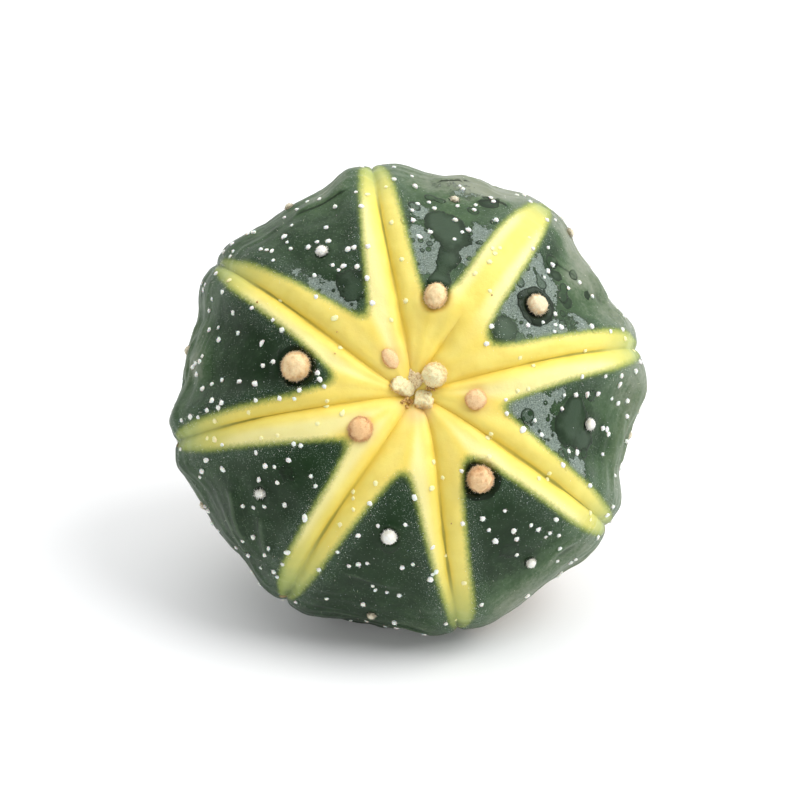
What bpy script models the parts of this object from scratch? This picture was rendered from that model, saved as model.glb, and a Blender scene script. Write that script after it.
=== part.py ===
"""A variegated star cactus lifted out of the soil, leaning back on its trimmed taproot.

Run it with blender --background --python part.py, or from Blender's text editor.
Metres, +Z up. The plant rests on the plane z = 0 and its crown faces -Y, towards the viewer.

The plant's own frame has its origin at the centre of the widest ring and +Z out of the crown.
A place on the skin is a length along it from the growing point, and a turn round the axis
counted in ribs: 0.0 is the furrow where the first rib begins, and 1.5 the middle of the second.
"""

import math

import bmesh
import bpy
import numpy as np
from mathutils import Vector

MM = 0.001

# Driving dimensions
RIM = 32.6 * MM  # the axis to the furrow lips, round the widest ring
LEAN = math.radians(58)  # how far the axis leans from upright, towards -Y
RING_CENTRE = (-0.2 * MM, -12.1 * MM, 30.9 * MM)  # the plant frame's origin as the plant rests
CROWN_OFFSET = (0.5 * MM, -0.9 * MM)  # the growing point sits off the axis, in the plant's x and y
CROWN_BLEND = 26 * MM  # that shift fades to nothing this far along the skin
GAP = 0.3 * MM  # clearance between neighbouring pieces

# The skin's outline from the crown's centre to the root collar: (out from the axis, up it), in RIM
PROFILE = (
    (0.00, 0.400), (0.14, 0.437), (0.35, 0.445), (0.60, 0.382), (0.82, 0.235),
    (0.96, 0.060), (1.00, -0.100), (0.96, -0.270), (0.82, -0.500), (0.58, -0.730),
    (0.34, -0.895), (0.20, -0.975), (0.00, -1.000),
)

# Furrows part the ribs. Each rib lies between its own furrow and the next, anticlockwise from +X.
RIBS = 8
FURROW_BEARINGS = (12, 54, 99, 145, 191, 239, 282, 327)  # degrees, away from the crown
FURROW_SWINGS = (8, 12, -7, 8, -6, 8, 34, 18)  # degrees that each one turns on into the crown
SWING_FADE = 6.5 * MM
FUSED_FURROW = 1  # two ribs have grown together here, past the crown
FUSED_FROM, FUSED_TO = 7 * MM, 14 * MM
VALLEY_WIDTH = 3.6 * MM  # from a furrow's crease to the top of its lip
VALLEY_DEPTHS = ((0, 1.0), (8, 1.4), (18, 1.1), (30, 0.35), (40, 0.1), (70, 0.0))  # mm along, mm
CREASE_WIDTH = 1.0 * MM
CREASE_DEPTH = 0.55 * MM
COLLAR_FROM = 0.8  # the creases run out between here and the root, as a share of the skin's length

# Each rib's middle is sunken between its lips, most at the widest ring.
RIB_SINKS = (1.8, 1.5, 1.6, 2.0, 1.3, 1.4, 0.9, 2.4)  # mm
SINK_SHARES = ((0, 0.0), (12, 0.25), (30, 1.0), (44, 0.9), (64, 0.0))  # mm along, share of the sink
LIP_FROM, LIP_TO = 0.30, 0.82  # the sink's slope, as shares of the way from a rib's middle
RIB_ROUNDING = 0.35  # how soon the furrows' valleys level out towards a rib's middle

# Swellings and hollows: (turn, mm along the skin, mm wide, mm high)
LUMPS = (
    (7.72, 39, 3.2, 1.7),
    (2.12, 35, 3.0, 0.7),
    (3.88, 36, 3.0, 0.7),
    (4.12, 37, 2.5, 0.6),
    (5.45, 41, 3.0, -0.8),
    (5.30, 53, 8.0, 1.7),
    (6.55, 40, 4.0, -0.4),
    (6.10, 33, 3.0, 0.4),
    (2.60, 29, 4.0, 0.4),
    (4.55, 33, 4.0, 0.3),
)

# Wool tufts down each rib: (mm along the skin, share of the way across the rib, mm wide)
TUFTS = (
    ((3.8, 0.52, 3.3), (21.0, 0.50, 2.7), (38.5, 0.80, 1.2), (53.0, 0.50, 1.2)),
    ((1.7, 0.60, 1.6), (12.8, 0.46, 3.0), (30.0, 0.50, 1.1), (44.0, 0.52, 1.2), (58.0, 0.50, 1.1)),
    ((5.5, 0.37, 2.5), (22.8, 0.50, 1.5), (38.0, 0.50, 1.2), (53.0, 0.48, 1.1)),
    ((2.2, 0.15, 2.4), (15.3, 0.51, 3.7), (38.8, 0.50, 1.3), (50.0, 0.50, 1.2), (62.0, 0.50, 1.1)),
    ((8.0, 0.55, 3.0), (25.5, 0.50, 1.5), (40.0, 0.35, 1.2), (54.0, 0.45, 1.1)),
    ((20.0, 0.52, 1.9), (35.5, 0.50, 1.1), (69.0, 0.50, 1.1)),
    ((1.7, 0.90, 2.5), (15.0, 0.54, 3.6), (31.0, 0.52, 1.3), (46.0, 0.50, 1.2), (60.0, 0.50, 1.1)),
    ((9.0, 0.53, 2.8), (27.2, 0.50, 1.5), (40.0, 0.52, 1.2), (55.0, 0.48, 1.1)),
)
TUFT_HEIGHT = 0.8  # share of its width
TUFT_RISE = 0.35  # how far its centre stands above the skin, in its radii

# Root: a main branch from the collar and a fork out of it, each trimmed where it meets the ground
COLLAR_RADIUS = 5.2 * MM
ROOT_BRANCHES = (  # mm below the collar's face, share of its radius, then x, y and radius at the end
    (0.0, 1.0, -8.7, 31.6, 2.5),
    (1.4, 0.8, 7.3, 28.6, 2.0),
)
TRIMMED = 0.6  # height of a trimmed end's centre, in its radii
ROOT_BOW = 1.2 * MM  # each branch bows up by this halfway
ROOT_SWEEP = 4 * MM  # each branch leaves the collar straight for about this far
BRANCH_SWELL = 1.35  # radius halfway along, as a share of the end's
WELD = 0.01 * MM

# The ground is the top of a slab this wide and deep.
SLAB = 0.2

# Fineness of the body's mesh
RIB_COLUMNS = 10
BODY_ROWS = 36
FURROW_CROWDING = 0.7  # 0 spaces the columns evenly, towards 1 gathers them at the furrows


def clear_scene():
    for obj in list(bpy.data.objects):
        bpy.data.objects.remove(obj)


def collection_named(name):
    made = bpy.data.collections.new(name)
    bpy.context.scene.collection.children.link(made)
    return made


def material(name, colour, roughness):
    made = bpy.data.materials.new(name)
    made.use_nodes = True
    shader = made.node_tree.nodes["Principled BSDF"]
    shader.inputs["Base Color"].default_value = (*colour, 1)
    shader.inputs["Roughness"].default_value = roughness
    shader.inputs["Metallic"].default_value = 0
    return made


def placed(name, mesh, collection, parent=None):
    made = bpy.data.objects.new(name, mesh)
    collection.objects.link(made)
    made.parent = parent
    return made


# --- The skin ---


def smooth_step(low, high, value):
    share = np.clip((value - low) / (high - low), 0, 1)
    return share * share * (3 - 2 * share)


def knots(pairs, length):
    """The value at a length along the skin, read from (mm, value) pairs."""
    return np.interp(length / MM, [at for at, _ in pairs], [value for _, value in pairs])


def smooth_profile(steps=24):
    """Lengths along the skin, and the distances out and up there, on a smooth curve through PROFILE."""
    inner = np.array(PROFILE) * RIM
    before = inner[1] * (-1, 1)
    after = inner[-2] * (-1, 1)
    points = np.vstack([before, inner, after])
    share = np.linspace(0, 1, steps, endpoint=False)[:, None]
    runs = []
    for a, b, c, d in zip(points, points[1:], points[2:], points[3:]):
        runs.append(
            b
            + share * (c - a) / 2
            + share**2 * (a - 2.5 * b + 2 * c - d / 2)
            + share**3 * (1.5 * (b - c) + (d - a) / 2)
        )
    curve = np.vstack([*runs, inner[-1:]])
    lengths = np.concatenate([[0], np.cumsum(np.linalg.norm(np.diff(curve, axis=0), axis=1))])
    return lengths, curve


LENGTHS, CURVE = smooth_profile()
SKIN_LENGTH = LENGTHS[-1]


def meridian(length):
    """Distance out from the axis, height up it, and the outward normal's two parts, along the skin."""
    tangent = np.gradient(CURVE, LENGTHS, axis=0)
    tangent /= np.linalg.norm(tangent, axis=1)[:, None]
    out, up = (np.interp(length, LENGTHS, CURVE[:, i]) for i in (0, 1))
    along_out, along_up = (np.interp(length, LENGTHS, tangent[:, i]) for i in (0, 1))
    return out, up, -along_up, along_out


def rib_place(length, turn):
    """Rib number, share of the way across it, its half angle, and the bearing there."""
    rib = np.floor(turn).astype(int) % RIBS
    across = turn - np.floor(turn)
    bearings = np.radians((*FURROW_BEARINGS, FURROW_BEARINGS[0] + 360))
    swings = np.radians((*FURROW_SWINGS, FURROW_SWINGS[0]))
    swung = np.exp(-length / SWING_FADE)
    near = bearings[rib] + swings[rib] * swung
    far = bearings[rib + 1] + swings[rib + 1] * swung
    return rib, across, (far - near) / 2, near + across * (far - near)


def furrow_cut(length, out, rib, across, half_angle):
    """Depth of the nearest furrow: a wide valley between rounded lips, and a sharp crease in it."""
    from_middle = np.hypot(2 * across - 1, RIB_ROUNDING)
    furrow_value = math.hypot(1, RIB_ROUNDING)
    to_crease = out * half_angle * (furrow_value - from_middle) * furrow_value
    furrow = (rib + (across > 0.5)) % RIBS
    fusing = smooth_step(FUSED_FROM, FUSED_TO, length)
    strength = np.where(furrow == FUSED_FURROW, 1 - fusing, 1)
    valley = knots(VALLEY_DEPTHS, length) * MM * np.clip(1 - to_crease / VALLEY_WIDTH, 0, 1) ** 1.5
    crease = CREASE_DEPTH * np.clip(1 - to_crease / CREASE_WIDTH, 0, 1) ** 1.5
    above_collar = smooth_step(SKIN_LENGTH, COLLAR_FROM * SKIN_LENGTH, length)
    return strength * (valley + crease * above_collar)


def lump_rise(length, turn, out, half_angle):
    """Height of the swellings and hollows."""
    rise = np.zeros(np.broadcast(length, turn).shape)
    for lump_turn, lump_mm, width_mm, height_mm in LUMPS:
        turns_away = (turn - lump_turn + RIBS / 2) % RIBS - RIBS / 2
        away = np.hypot(turns_away * 2 * half_angle * out, length - lump_mm * MM)
        rise = rise + height_mm * MM * np.exp(-((away / (width_mm * MM)) ** 2))
    return rise


def skin(length, turn):
    """Points of the skin in the plant's frame, as an array with x, y, z last."""
    length, turn = np.broadcast_arrays(np.asarray(length, float), np.asarray(turn, float))
    out, up, normal_out, normal_up = meridian(length)
    rib, across, half_angle, bearing = rib_place(length, turn)
    sink = np.array(RIB_SINKS)[rib] * MM * knots(SINK_SHARES, length)
    sunken = sink * (1 - smooth_step(LIP_FROM, LIP_TO, np.abs(2 * across - 1)))
    cut = furrow_cut(length, out, rib, across, half_angle)
    rise = lump_rise(length, turn, out, half_angle) - sunken - cut
    out, up = out + normal_out * rise, up + normal_up * rise
    shift = smooth_step(CROWN_BLEND, 0, length)
    x = out * np.cos(bearing) + CROWN_OFFSET[0] * shift
    y = out * np.sin(bearing) + CROWN_OFFSET[1] * shift
    return np.stack([x, y, up], axis=-1)


def skin_frame(length, turn, step=0.2 * MM, turn_step=0.02):
    """A point of the skin and its outward normal."""
    point = skin(length, turn)
    along = skin(length + step, turn) - skin(length - step, turn)
    around = skin(length, turn + turn_step) - skin(length, turn - turn_step)
    normal = np.cross(along, around)
    return Vector(point), Vector(normal).normalized()


# --- The pieces ---


def body_mesh():
    """A sphere's grid laid on the skin, its columns gathered towards the furrows."""
    grid = bmesh.new()
    bmesh.ops.create_uvsphere(grid, u_segments=RIBS * RIB_COLUMNS, v_segments=BODY_ROWS, radius=1)
    for vertex in grid.verts:
        polar = math.acos(max(-1, min(1, vertex.co.z)))
        turn = math.atan2(vertex.co.y, vertex.co.x) / math.tau * RIBS % RIBS
        crowding = FURROW_CROWDING * math.sin(math.tau * turn) / math.tau
        vertex.co = Vector(skin(polar / math.pi * SKIN_LENGTH, turn - crowding))
    mesh = bpy.data.meshes.new("cactus_body")
    grid.to_mesh(mesh)
    grid.free()
    mesh.shade_smooth()
    return mesh


def ball_mesh(name, columns=10, rows=7):
    """A unit ball, which the wool tufts and their pits scale."""
    ball = bmesh.new()
    bmesh.ops.create_uvsphere(ball, u_segments=columns, v_segments=rows, radius=1)
    mesh = bpy.data.meshes.new(name)
    ball.to_mesh(mesh)
    ball.free()
    mesh.shade_smooth()
    return mesh


def seat_ball(ball, length, turn, radius, grown):
    """Puts a ball on the skin, flattened along the skin's normal and grown by a clearance."""
    point, normal = skin_frame(length, turn)
    ball.location = point + normal * radius * TUFT_RISE
    ball.rotation_mode = "QUATERNION"
    ball.rotation_quaternion = normal.to_track_quat("Z", "Y")
    ball.scale = (radius + grown, radius + grown, radius * TUFT_HEIGHT + grown)


def boolean(target, other, operation):
    made = target.modifiers.new(other.name, "BOOLEAN")
    made.operation = operation
    made.object = other


def make_tufts(body, parts, cutters, axis):
    """One wool tuft for each areole, and a pit in the body that clears it."""
    wool = material("areole_wool", (0.80, 0.60, 0.36), 0.95)
    tuft_ball, pit_ball = ball_mesh("wool_tuft"), ball_mesh("areole_pit")
    tuft_ball.materials.append(wool)
    for rib, places in enumerate(TUFTS):
        for place, (along_mm, across, width_mm) in enumerate(places):
            label = f"{rib + 1}_{place + 1}"  # the rib, then the place outwards from the crown
            where = (along_mm * MM, rib + across, width_mm * MM / 2)
            tuft = placed("areole_wool_" + label, tuft_ball, parts, axis)
            seat_ball(tuft, *where, grown=0)
            pit = placed("areole_pit_" + label, pit_ball, cutters, axis)
            seat_ball(pit, *where, grown=GAP)
            pit.hide_render, pit.display_type = True, "WIRE"
            boolean(body, pit, "DIFFERENCE")


def ground_cutter(cutters):
    """A slab whose top is the ground, which presses flats where the plant rests."""
    slab = bmesh.new()
    bmesh.ops.create_cube(slab, size=SLAB)
    bmesh.ops.translate(slab, verts=slab.verts, vec=(0, 0, -SLAB / 2))
    mesh = bpy.data.meshes.new("ground_slab")
    slab.to_mesh(mesh)
    slab.free()
    made = placed("ground_slab", mesh, cutters)
    made.hide_render, made.display_type = True, "WIRE"
    return made


def root_branch(start, start_radius, towards, end, radius):
    """A tapering root as a closed mesh, from the collar to an end trimmed on the ground."""
    curve = bpy.data.curves.new("root_branch", "CURVE")
    curve.dimensions = "3D"
    curve.bevel_depth = 1
    curve.bevel_resolution = 2
    curve.resolution_u = 5
    curve.use_fill_caps = True
    spline = curve.splines.new("BEZIER")
    spline.bezier_points.add(2)
    middle = start.lerp(end, 0.5) + Vector((0, 0, ROOT_BOW))
    places = (start, middle, end)
    radii = (start_radius, BRANCH_SWELL * radius, radius)
    for point, place, point_radius in zip(spline.bezier_points, places, radii):
        point.co = place
        point.handle_left_type = point.handle_right_type = "AUTO"
        point.radius = point_radius
    first = spline.bezier_points[0]
    first.handle_left_type = first.handle_right_type = "FREE"
    first.handle_right = start + towards * ROOT_SWEEP
    first.handle_left = start - towards * ROOT_SWEEP
    guide = placed("root_guide", curve, bpy.context.scene.collection)
    graph = bpy.context.evaluated_depsgraph_get()
    mesh = bpy.data.meshes.new_from_object(guide.evaluated_get(graph))
    bpy.data.objects.remove(guide)
    welded = bmesh.new()
    welded.from_mesh(mesh)
    bmesh.ops.remove_doubles(welded, verts=welded.verts, dist=WELD)
    bmesh.ops.recalc_face_normals(welded, faces=welded.faces)
    welded.to_mesh(mesh)
    welded.free()
    mesh.shade_smooth()
    return mesh


def make_root(parts, cutters, axis):
    """The trimmed taproot: a main branch and its fork, which both end on the ground."""
    bpy.context.view_layer.update()
    down = axis.matrix_world.to_3x3() @ Vector((0, 0, -1))
    base = axis.matrix_world @ Vector(skin(SKIN_LENGTH, 0.0))
    meshes = []
    for below_mm, share, x_mm, y_mm, radius_mm in ROOT_BRANCHES:
        start = base + down * (GAP + below_mm * MM)
        end = Vector((x_mm, y_mm, TRIMMED * radius_mm)) * MM
        meshes.append(root_branch(start, share * COLLAR_RADIUS, down, end, radius_mm * MM))
    root = placed("taproot", meshes[0], parts)
    meshes[0].materials.append(material("taproot", (0.36, 0.25, 0.15), 0.9))
    branch = placed("root_fork", meshes[1], cutters)
    branch.hide_render, branch.display_type = True, "WIRE"
    boolean(root, branch, "UNION")
    return root


def main():
    clear_scene()
    parts = collection_named("star_cactus")
    cutters = collection_named("cutters")
    axis = placed("plant_axis", None, parts)
    axis.location = RING_CENTRE
    axis.rotation_euler = (LEAN, 0, 0)

    body = placed("cactus_body", body_mesh(), parts, axis)
    body.data.materials.append(material("cactus_skin", (0.05, 0.10, 0.05), 0.45))
    make_tufts(body, parts, cutters, axis)
    root = make_root(parts, cutters, axis)
    slab = ground_cutter(cutters)
    boolean(body, slab, "DIFFERENCE")
    boolean(root, slab, "DIFFERENCE")


main()
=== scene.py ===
"""Looks of a variegated star cactus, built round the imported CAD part.

The skin, the wool and the root each stand for their CAD nodes. The skin is the same surface as the
CAD body's, in finer steps: a place on it is a length along it from the growing point, and a turn
counted in ribs, where 0.0 is the furrow at which the first rib begins. Metres, +Z up.
"""

import math

import bmesh
import bpy
import numpy as np
from mathutils import Matrix, Vector


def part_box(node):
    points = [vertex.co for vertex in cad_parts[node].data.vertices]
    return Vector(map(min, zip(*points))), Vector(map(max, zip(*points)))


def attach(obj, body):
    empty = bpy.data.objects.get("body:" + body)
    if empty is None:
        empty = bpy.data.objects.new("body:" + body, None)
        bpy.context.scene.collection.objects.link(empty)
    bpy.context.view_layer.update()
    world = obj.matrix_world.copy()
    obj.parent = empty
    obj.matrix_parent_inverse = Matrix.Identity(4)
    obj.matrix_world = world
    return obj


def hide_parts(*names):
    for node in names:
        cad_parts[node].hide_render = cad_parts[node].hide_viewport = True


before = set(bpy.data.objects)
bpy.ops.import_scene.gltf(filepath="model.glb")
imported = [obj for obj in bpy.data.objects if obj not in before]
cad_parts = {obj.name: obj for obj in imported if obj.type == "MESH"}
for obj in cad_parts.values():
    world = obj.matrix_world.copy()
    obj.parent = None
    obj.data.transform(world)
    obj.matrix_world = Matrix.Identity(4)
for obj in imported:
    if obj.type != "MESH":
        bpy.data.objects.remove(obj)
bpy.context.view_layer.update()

MM = 0.001
TAU = math.tau
FAR = 9.0  # mm: a place this far from a thing is clear of it

# --- The skin's shape, as the CAD part has it ---

RIM = 32.6 * MM
LEAN = math.radians(58)
RING_CENTRE = Vector((-0.2, -12.1, 30.9)) * MM
CROWN_OFFSET = (0.5 * MM, -0.9 * MM)
CROWN_BLEND = 26 * MM
PROFILE = (
    (0.00, 0.400), (0.14, 0.437), (0.35, 0.445), (0.60, 0.382), (0.82, 0.235),
    (0.96, 0.060), (1.00, -0.100), (0.96, -0.270), (0.82, -0.500), (0.58, -0.730),
    (0.34, -0.895), (0.20, -0.975), (0.00, -1.000),
)
RIBS = 8
FURROW_BEARINGS = (12, 54, 99, 145, 191, 239, 282, 327)
FURROW_SWINGS = (8, 12, -7, 8, -6, 8, 34, 18)
SWING_FADE = 6.5 * MM
FUSED_FURROW = 1
FUSED_FROM, FUSED_TO = 7 * MM, 14 * MM
VALLEY_WIDTH, CREASE_WIDTH = 3.6 * MM, 1.2 * MM
# How deep the furrows' valleys and the creases in them are: (mm along, mm deep)
VALLEY_DEPTHS = ((0, 0.8), (8, 1.25), (18, 1.2), (30, 0.65), (40, 0.25), (70, 0.0))
CREASE_DEPTHS = ((0, 0.25), (10, 0.3), (26, 0.45))
COLLAR_FROM = 0.8
RIB_SINKS = (1.8, 1.5, 1.6, 2.0, 1.3, 1.4, 0.9, 2.4)
SINK_SHARES = ((0, 0.0), (12, 0.25), (30, 1.0), (44, 0.9), (64, 0.0))
LIP_FROM, LIP_TO = 0.30, 0.82
RIB_ROUNDING = 0.35
# Swellings and dents: (turn, mm along, mm wide, mm high)
LUMPS = (
    (7.72, 39, 3.2, 1.7), (2.12, 35, 3, 0.7), (3.88, 36, 3, 0.7), (4.12, 37, 2.5, 0.6),
    (5.45, 41, 3, -0.8), (5.3, 53, 8, 1.7), (6.55, 40, 4, -0.4), (6.1, 33, 3, 0.4), (2.6, 29, 4, 0.4),
    (4.55, 33, 4, 0.3),
)
# The wool tufts, rib by rib: (mm along, share of the way across the rib, mm wide)
TUFTS = (
    ((3.8, 0.52, 3.3), (21, 0.5, 2.7), (38.5, 0.8, 1.2), (53, 0.5, 1.2)),
    ((1.7, 0.6, 1.6), (12.8, 0.46, 3), (30, 0.5, 1.1), (44, 0.52, 1.2), (58, 0.5, 1.1)),
    ((5.5, 0.37, 2.5), (22.8, 0.5, 1.5), (38, 0.5, 1.2), (53, 0.48, 1.1)),
    ((2.2, 0.15, 2.4), (15.3, 0.51, 3.7), (38.8, 0.5, 1.3), (50, 0.5, 1.2), (62, 0.5, 1.1)),
    ((8, 0.55, 3), (25.5, 0.5, 1.5), (40, 0.35, 1.2), (54, 0.45, 1.1)),
    ((20, 0.52, 1.9), (35.5, 0.5, 1.1), (69, 0.5, 1.1)),
    ((1.7, 0.9, 2.5), (15, 0.54, 3.6), (31, 0.52, 1.3), (46, 0.5, 1.2), (60, 0.5, 1.1)),
    ((9, 0.53, 2.8), (27.2, 0.5, 1.5), (40, 0.52, 1.2), (55, 0.48, 1.1)),
)

# --- What the skin's finer steps add ---

FINE_TO = 46  # mm along the skin that show from the crown's side
FINE_ROWS, COARSE_ROWS, RIB_COLUMNS = 150, 50, 56
CROWDING = 0.5  # how much closer the columns stand in the furrows

# The yellow star: half widths of each furrow's arm, in mm, on its clockwise and then its
# anticlockwise side, each at ARM_NEAR and at ARM_FAR mm along the skin
ARM_WIDTHS = (
    ((4.2, 3), (3.1, 2.9)), ((3.7, 2.8), (3.2, 3.2)), ((3.5, 2.7), (3.8, 2.5)), ((4.1, 2.2), (3.1, 2.5)),
    ((2.4, 2), (4.4, 2.9)), ((3.2, 2.8), (3.5, 2.2)), ((3.2, 1.7), (3.3, 2.9)), ((3.2, 3), (3.8, 2.7)),
)
ARM_NEAR, ARM_FAR = 16, 30
ARM_STEADY = 1.2  # share of the way from ARM_NEAR to ARM_FAR at which the width stops changing
ARM_SPREAD = 0.12  # how fast an arm widens inside ARM_NEAR, mm a mm
ARM_TIPS = (40.2, 39.6, 39.5, 38.0, 38.5, 38.5, 39.5, 41.2)  # mm along
TIP_TAPERS = (11, 15, 9, 10, 10, 10, 9, 12)
TIP_BLUNTNESS = 0.65
TIP_FADES = (13, 11, 13, 14, 15, 16, 13, 13)  # mm over which each arm turns green before its tip
APEXES = (12.3, 11.5, 11.2, 10.2, 9.8, 10.5, 11.2, 11.8)  # mm along, where each rib turns green
APEX_SHARPNESS, APEX_ROUNDING = 1.1, 0.7

# Frosted bloom, and pools of water over it: (turn, mm along, mm wide, strength)
BLOOM = (
    (1.64, 17.4, 2, 1.2), (1.72, 21, 2, 1.1), (1.72, 26, 1.8, 0.9), (1.52, 19.2, 1.2, 0.9),
    (1.26, 20, 1.7, 1.1), (1.24, 24.2, 2.2, 0.9), (1.5, 32, 4, 0.45), (0.74, 21.8, 2.3, 1.2),
    (0.78, 26, 2.2, 0.8), (0.64, 17.6, 1.8, 1.2), (0.56, 24.4, 2.2, 0.9), (0.34, 18.2, 1.8, 1.2),
    (0.24, 21.6, 2, 1.1), (0.22, 26.5, 2, 0.8), (7.52, 14, 1.6, 1.2), (7.6, 17.2, 1.9, 1.2),
    (7.38, 18.4, 2, 1.2), (7.26, 21.4, 1.6, 0.9), (7.17, 26.4, 2, 1), (7.68, 21, 1.6, 0.6),
    (2.54, 14.4, 1.4, 1.1), (2.62, 16.6, 1.5, 1.1), (2.69, 19.4, 1.4, 0.9), (2.74, 22.4, 1.2, 0.7),
    (6.36, 15.4, 1.4, 0.5), (3.8, 22, 2.4, 0.35),
)
POOLS = (
    (1.57, 24.4, 2.2, 1.2), (1.43, 22.6, 2.5, 1.2), (1.42, 18.2, 1.5, 1.3), (1.44, 14.6, 1.7, 1.3),
    (0.47, 21, 2.2, 1.6), (0.47, 14.8, 1.9, 1.4), (0.62, 27.6, 1.3, 0.9), (0.42, 26.6, 1.5, 0.9),
    (0.4, 31.5, 1, 0.7), (7.46, 24, 3, 1.3), (7.62, 24.4, 1.3, 0.7), (7.38, 27.4, 1.6, 0.9),
    (2.42, 16, 2.6, 1.1), (6.53, 14.8, 2.5, 1.4), (3.51, 15.5, 2.9, 1.2), (1.28, 32, 1.8, 0.9),
    (5.55, 21, 2.2, 0.8), (4.5, 20, 3, 0.5), (6.46, 27, 2.2, 0.7),
)
# Drops on the bloom: (turn, mm along, mm wide)
DROPS = (
    (7.43, 16.1, 1.2), (0.75, 21.1, 0.8), (1.76, 26.4, 1), (1.82, 23.4, 0.9), (0.46, 26.3, 1.1),
    (1.62, 20.2, 0.5), (1.68, 19, 0.4), (0.66, 19.6, 0.5), (0.8, 23.6, 0.5), (0.26, 23.4, 0.7),
    (7.22, 22.8, 0.7), (7.14, 24.4, 0.5), (1.22, 22.6, 0.5), (1.2, 27, 0.6), (0.15, 28, 0.8),
    (0.7, 24.6, 0.4), (7.7, 27, 0.9), (1.66, 29.5, 0.9), (0.63, 24.2, 1), (0.72, 28.6, 1.2),
    (0.52, 27.6, 0.7), (0.56, 31, 0.9), (0.34, 24.6, 0.6), (1.36, 28.6, 1), (1.58, 29, 0.7),
    (7.3, 27.6, 0.8), (7.5, 27.4, 0.6),
)
# Where the yellow is flushed: (turn, mm along, mm wide, strength)
FLUSH = ((5.67, 2.6, 1.6, 1), (2.37, 5.5, 1.9, 0.5), (7.53, 9, 1.9, 0.5), (4.55, 8, 2, 0.5))

# The side of each arm that has a painted highlight, the half that faces the key light: 1 anticlockwise of
# its furrow, -1 clockwise, 0 both
HIGHLIGHTED_SIDES = (-1, 0, 1, 1, 1, -1, -1, -1)
HIGHLIGHT_RISES, HIGHLIGHT_ENDS = (0.7, 2.2), (5.5, 3.5)  # mm from the crease
UNLIT_SIDE_HIGHLIGHT = 0.15  # how much painted highlight the other side has
HIGHLIGHT_FREE_CROWN, HIGHLIGHT_FREE_TO = 0.85, (17, 11)  # how free of painted highlight the fused furrow's crown is, and how many mm along

# How much painted sheen, the key light's broad reflection, greys each rib's green, from the rib that begins
# at turn 0, and how much more at the rim
PAINTED_SHEENS = (0.90, 1.02, 0.28, 0.12, 0.08, 0.05, 0.0, 0.62)
PAINTED_RIM_SHEEN = (1.02, 0.6, 0.40, 1.05, 0.45, 0.10, 1.5, 0.8)
PAINTED_SHEEN_OUT = (24, 36)  # mm along
PAINTED_SHEEN_INSIDE, PAINTED_SHEEN_OUTSIDE, PAINTED_RIM_SHEEN_SHARE = 0.45, 0.2, 0.5
# Spots where the painted sheen is stronger or weaker: (turn, mm along, mm wide, strength)
PAINTED_SHEEN_SPOTS = (
    (0.74, 25.5, 2.4, -0.5), (0.8, 31, 2.9, -0.6), (0.58, 30, 2.4, 0.15), (0.35, 35, 3.5, -0.25),
    (1.4, 36, 3, 0.4), (1.28, 30.5, 2.5, -0.25), (7.45, 31, 4, -0.3), (3.6, 33, 2.8, 0.45),
    (3.3, 30, 3, -0.2), (6.5, 29, 4, -0.2), (6.3, 37, 4, 0.3), (2.3, 35, 4, 0.3),
)

WAVES = ((7.0, 0.16, 3), (2.6, 0.12, 5), (0.9, 0.028, 9))  # mm long, mm high, seed
WAVES_FROM, WAVES_TO = 2, 8  # mm along
WRINKLED_FROM, WRINKLED_TO = 28, 38
WRINKLE_LONG, WRINKLE_APART, WRINKLE_HEIGHT = 7.0, 1.8, 0.33  # mm round the plant, mm along it, mm
WRINKLE_RING = 0.9  # where that is measured, as a share of RIM
WRINKLE_PATCH, SMOOTHEST = 9 * MM, 0.3  # how wide wrinkled patches are, and what is left between them
BARK_FROM, BARK_TO = 56, 66  # mm along
BARK_HEIGHT, BARK_GRAIN = 0.35, 2.4 * MM  # mm high, and how coarse
SWELLS = ((3.58, 32, 3.2, 0.55), (1.42, 37, 3.6, 0.6), (6.3, 40, 5, 0.4), (0.55, 31, 4, 0.3))
# A raised fold's two ends, each (turn, mm along), its height in mm, and the side on which it drops off
# sharply: 1 its outer side, -1 its inner side
FOLDS = (
    ((2.52, 33.4), (2.14, 32), 0.38, -1), ((1.38, 31), (1.28, 33), 0.4, -1),
    ((1.28, 33), (1.16, 31.4), 0.4, -1), ((1.64, 34.2), (1.44, 36.5), 0.45, -1),
    ((0.74, 29), (0.54, 31.5), 0.3, -1), ((0.3, 37), (0.72, 35.5), 0.45, 1),
    ((4.36, 30), (4.66, 34), 0.35, 1), ((4.42, 33), (4.76, 36.5), 0.4, 1),
    ((4.6, 28), (4.8, 32.5), 0.3, 1), ((5.24, 27.5), (5.66, 28.5), 0.25, 1),
    ((7.28, 35), (7.62, 36.5), 0.4, 1), ((3.3, 36), (3.7, 37.5), 0.35, 1),
)
FOLD_FOOT = 0.35  # mm outside a fold's crest
FOLD_WOBBLE, FOLD_WOBBLE_LONG = 0.22, 3  # mm that its crest strays, and over how many mm
FOLD_STEEP, FOLD_GENTLE = 0.4, 1.8  # mm down its two sides
FOLD_ENDS = 0.15  # share of its run that each end takes
# A fold's crest carries a painted highlight and its sharp foot a painted shadow
FOLD_SHADE = 2.2  # how strongly it is drawn, a mm of height

# Where the cork of old age begins on each rib, mm along, and its scabs at the arms' tips
CORK_FROM = (64, 64, 62, 60, 60, 52, 40.5, 56)
CORK_SPOTS = ((4.02, 38.2, 0.8, 2.6), (4.98, 38, 0.8, 2.6), (6.99, 40.8, 0.8, 2.2), (5.99, 40.2, 0.6, 2.2))
CORK_SPREAD = 12  # mm that a scab of strength 1 brings the cork nearer

# A tuft's pit and the low brim round it, as shares of the tuft's radius
PIT_DEPTH, PIT_REACH = 0.75, 1.05
BRIM_HEIGHT, BRIM_AT, BRIM_WIDTH = 0.16, 1.55, 0.5
CROWN_TO = 10 * MM  # how far along the crown reaches
CROWN_PITS = 0.1  # how deep its pits are, against the others
DARK_RINGS = {"1_2": 1.15, "7_2": 0.95, "2_2": 0.35}  # mm of darker skin round a tuft, in and beyond its pit
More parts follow.
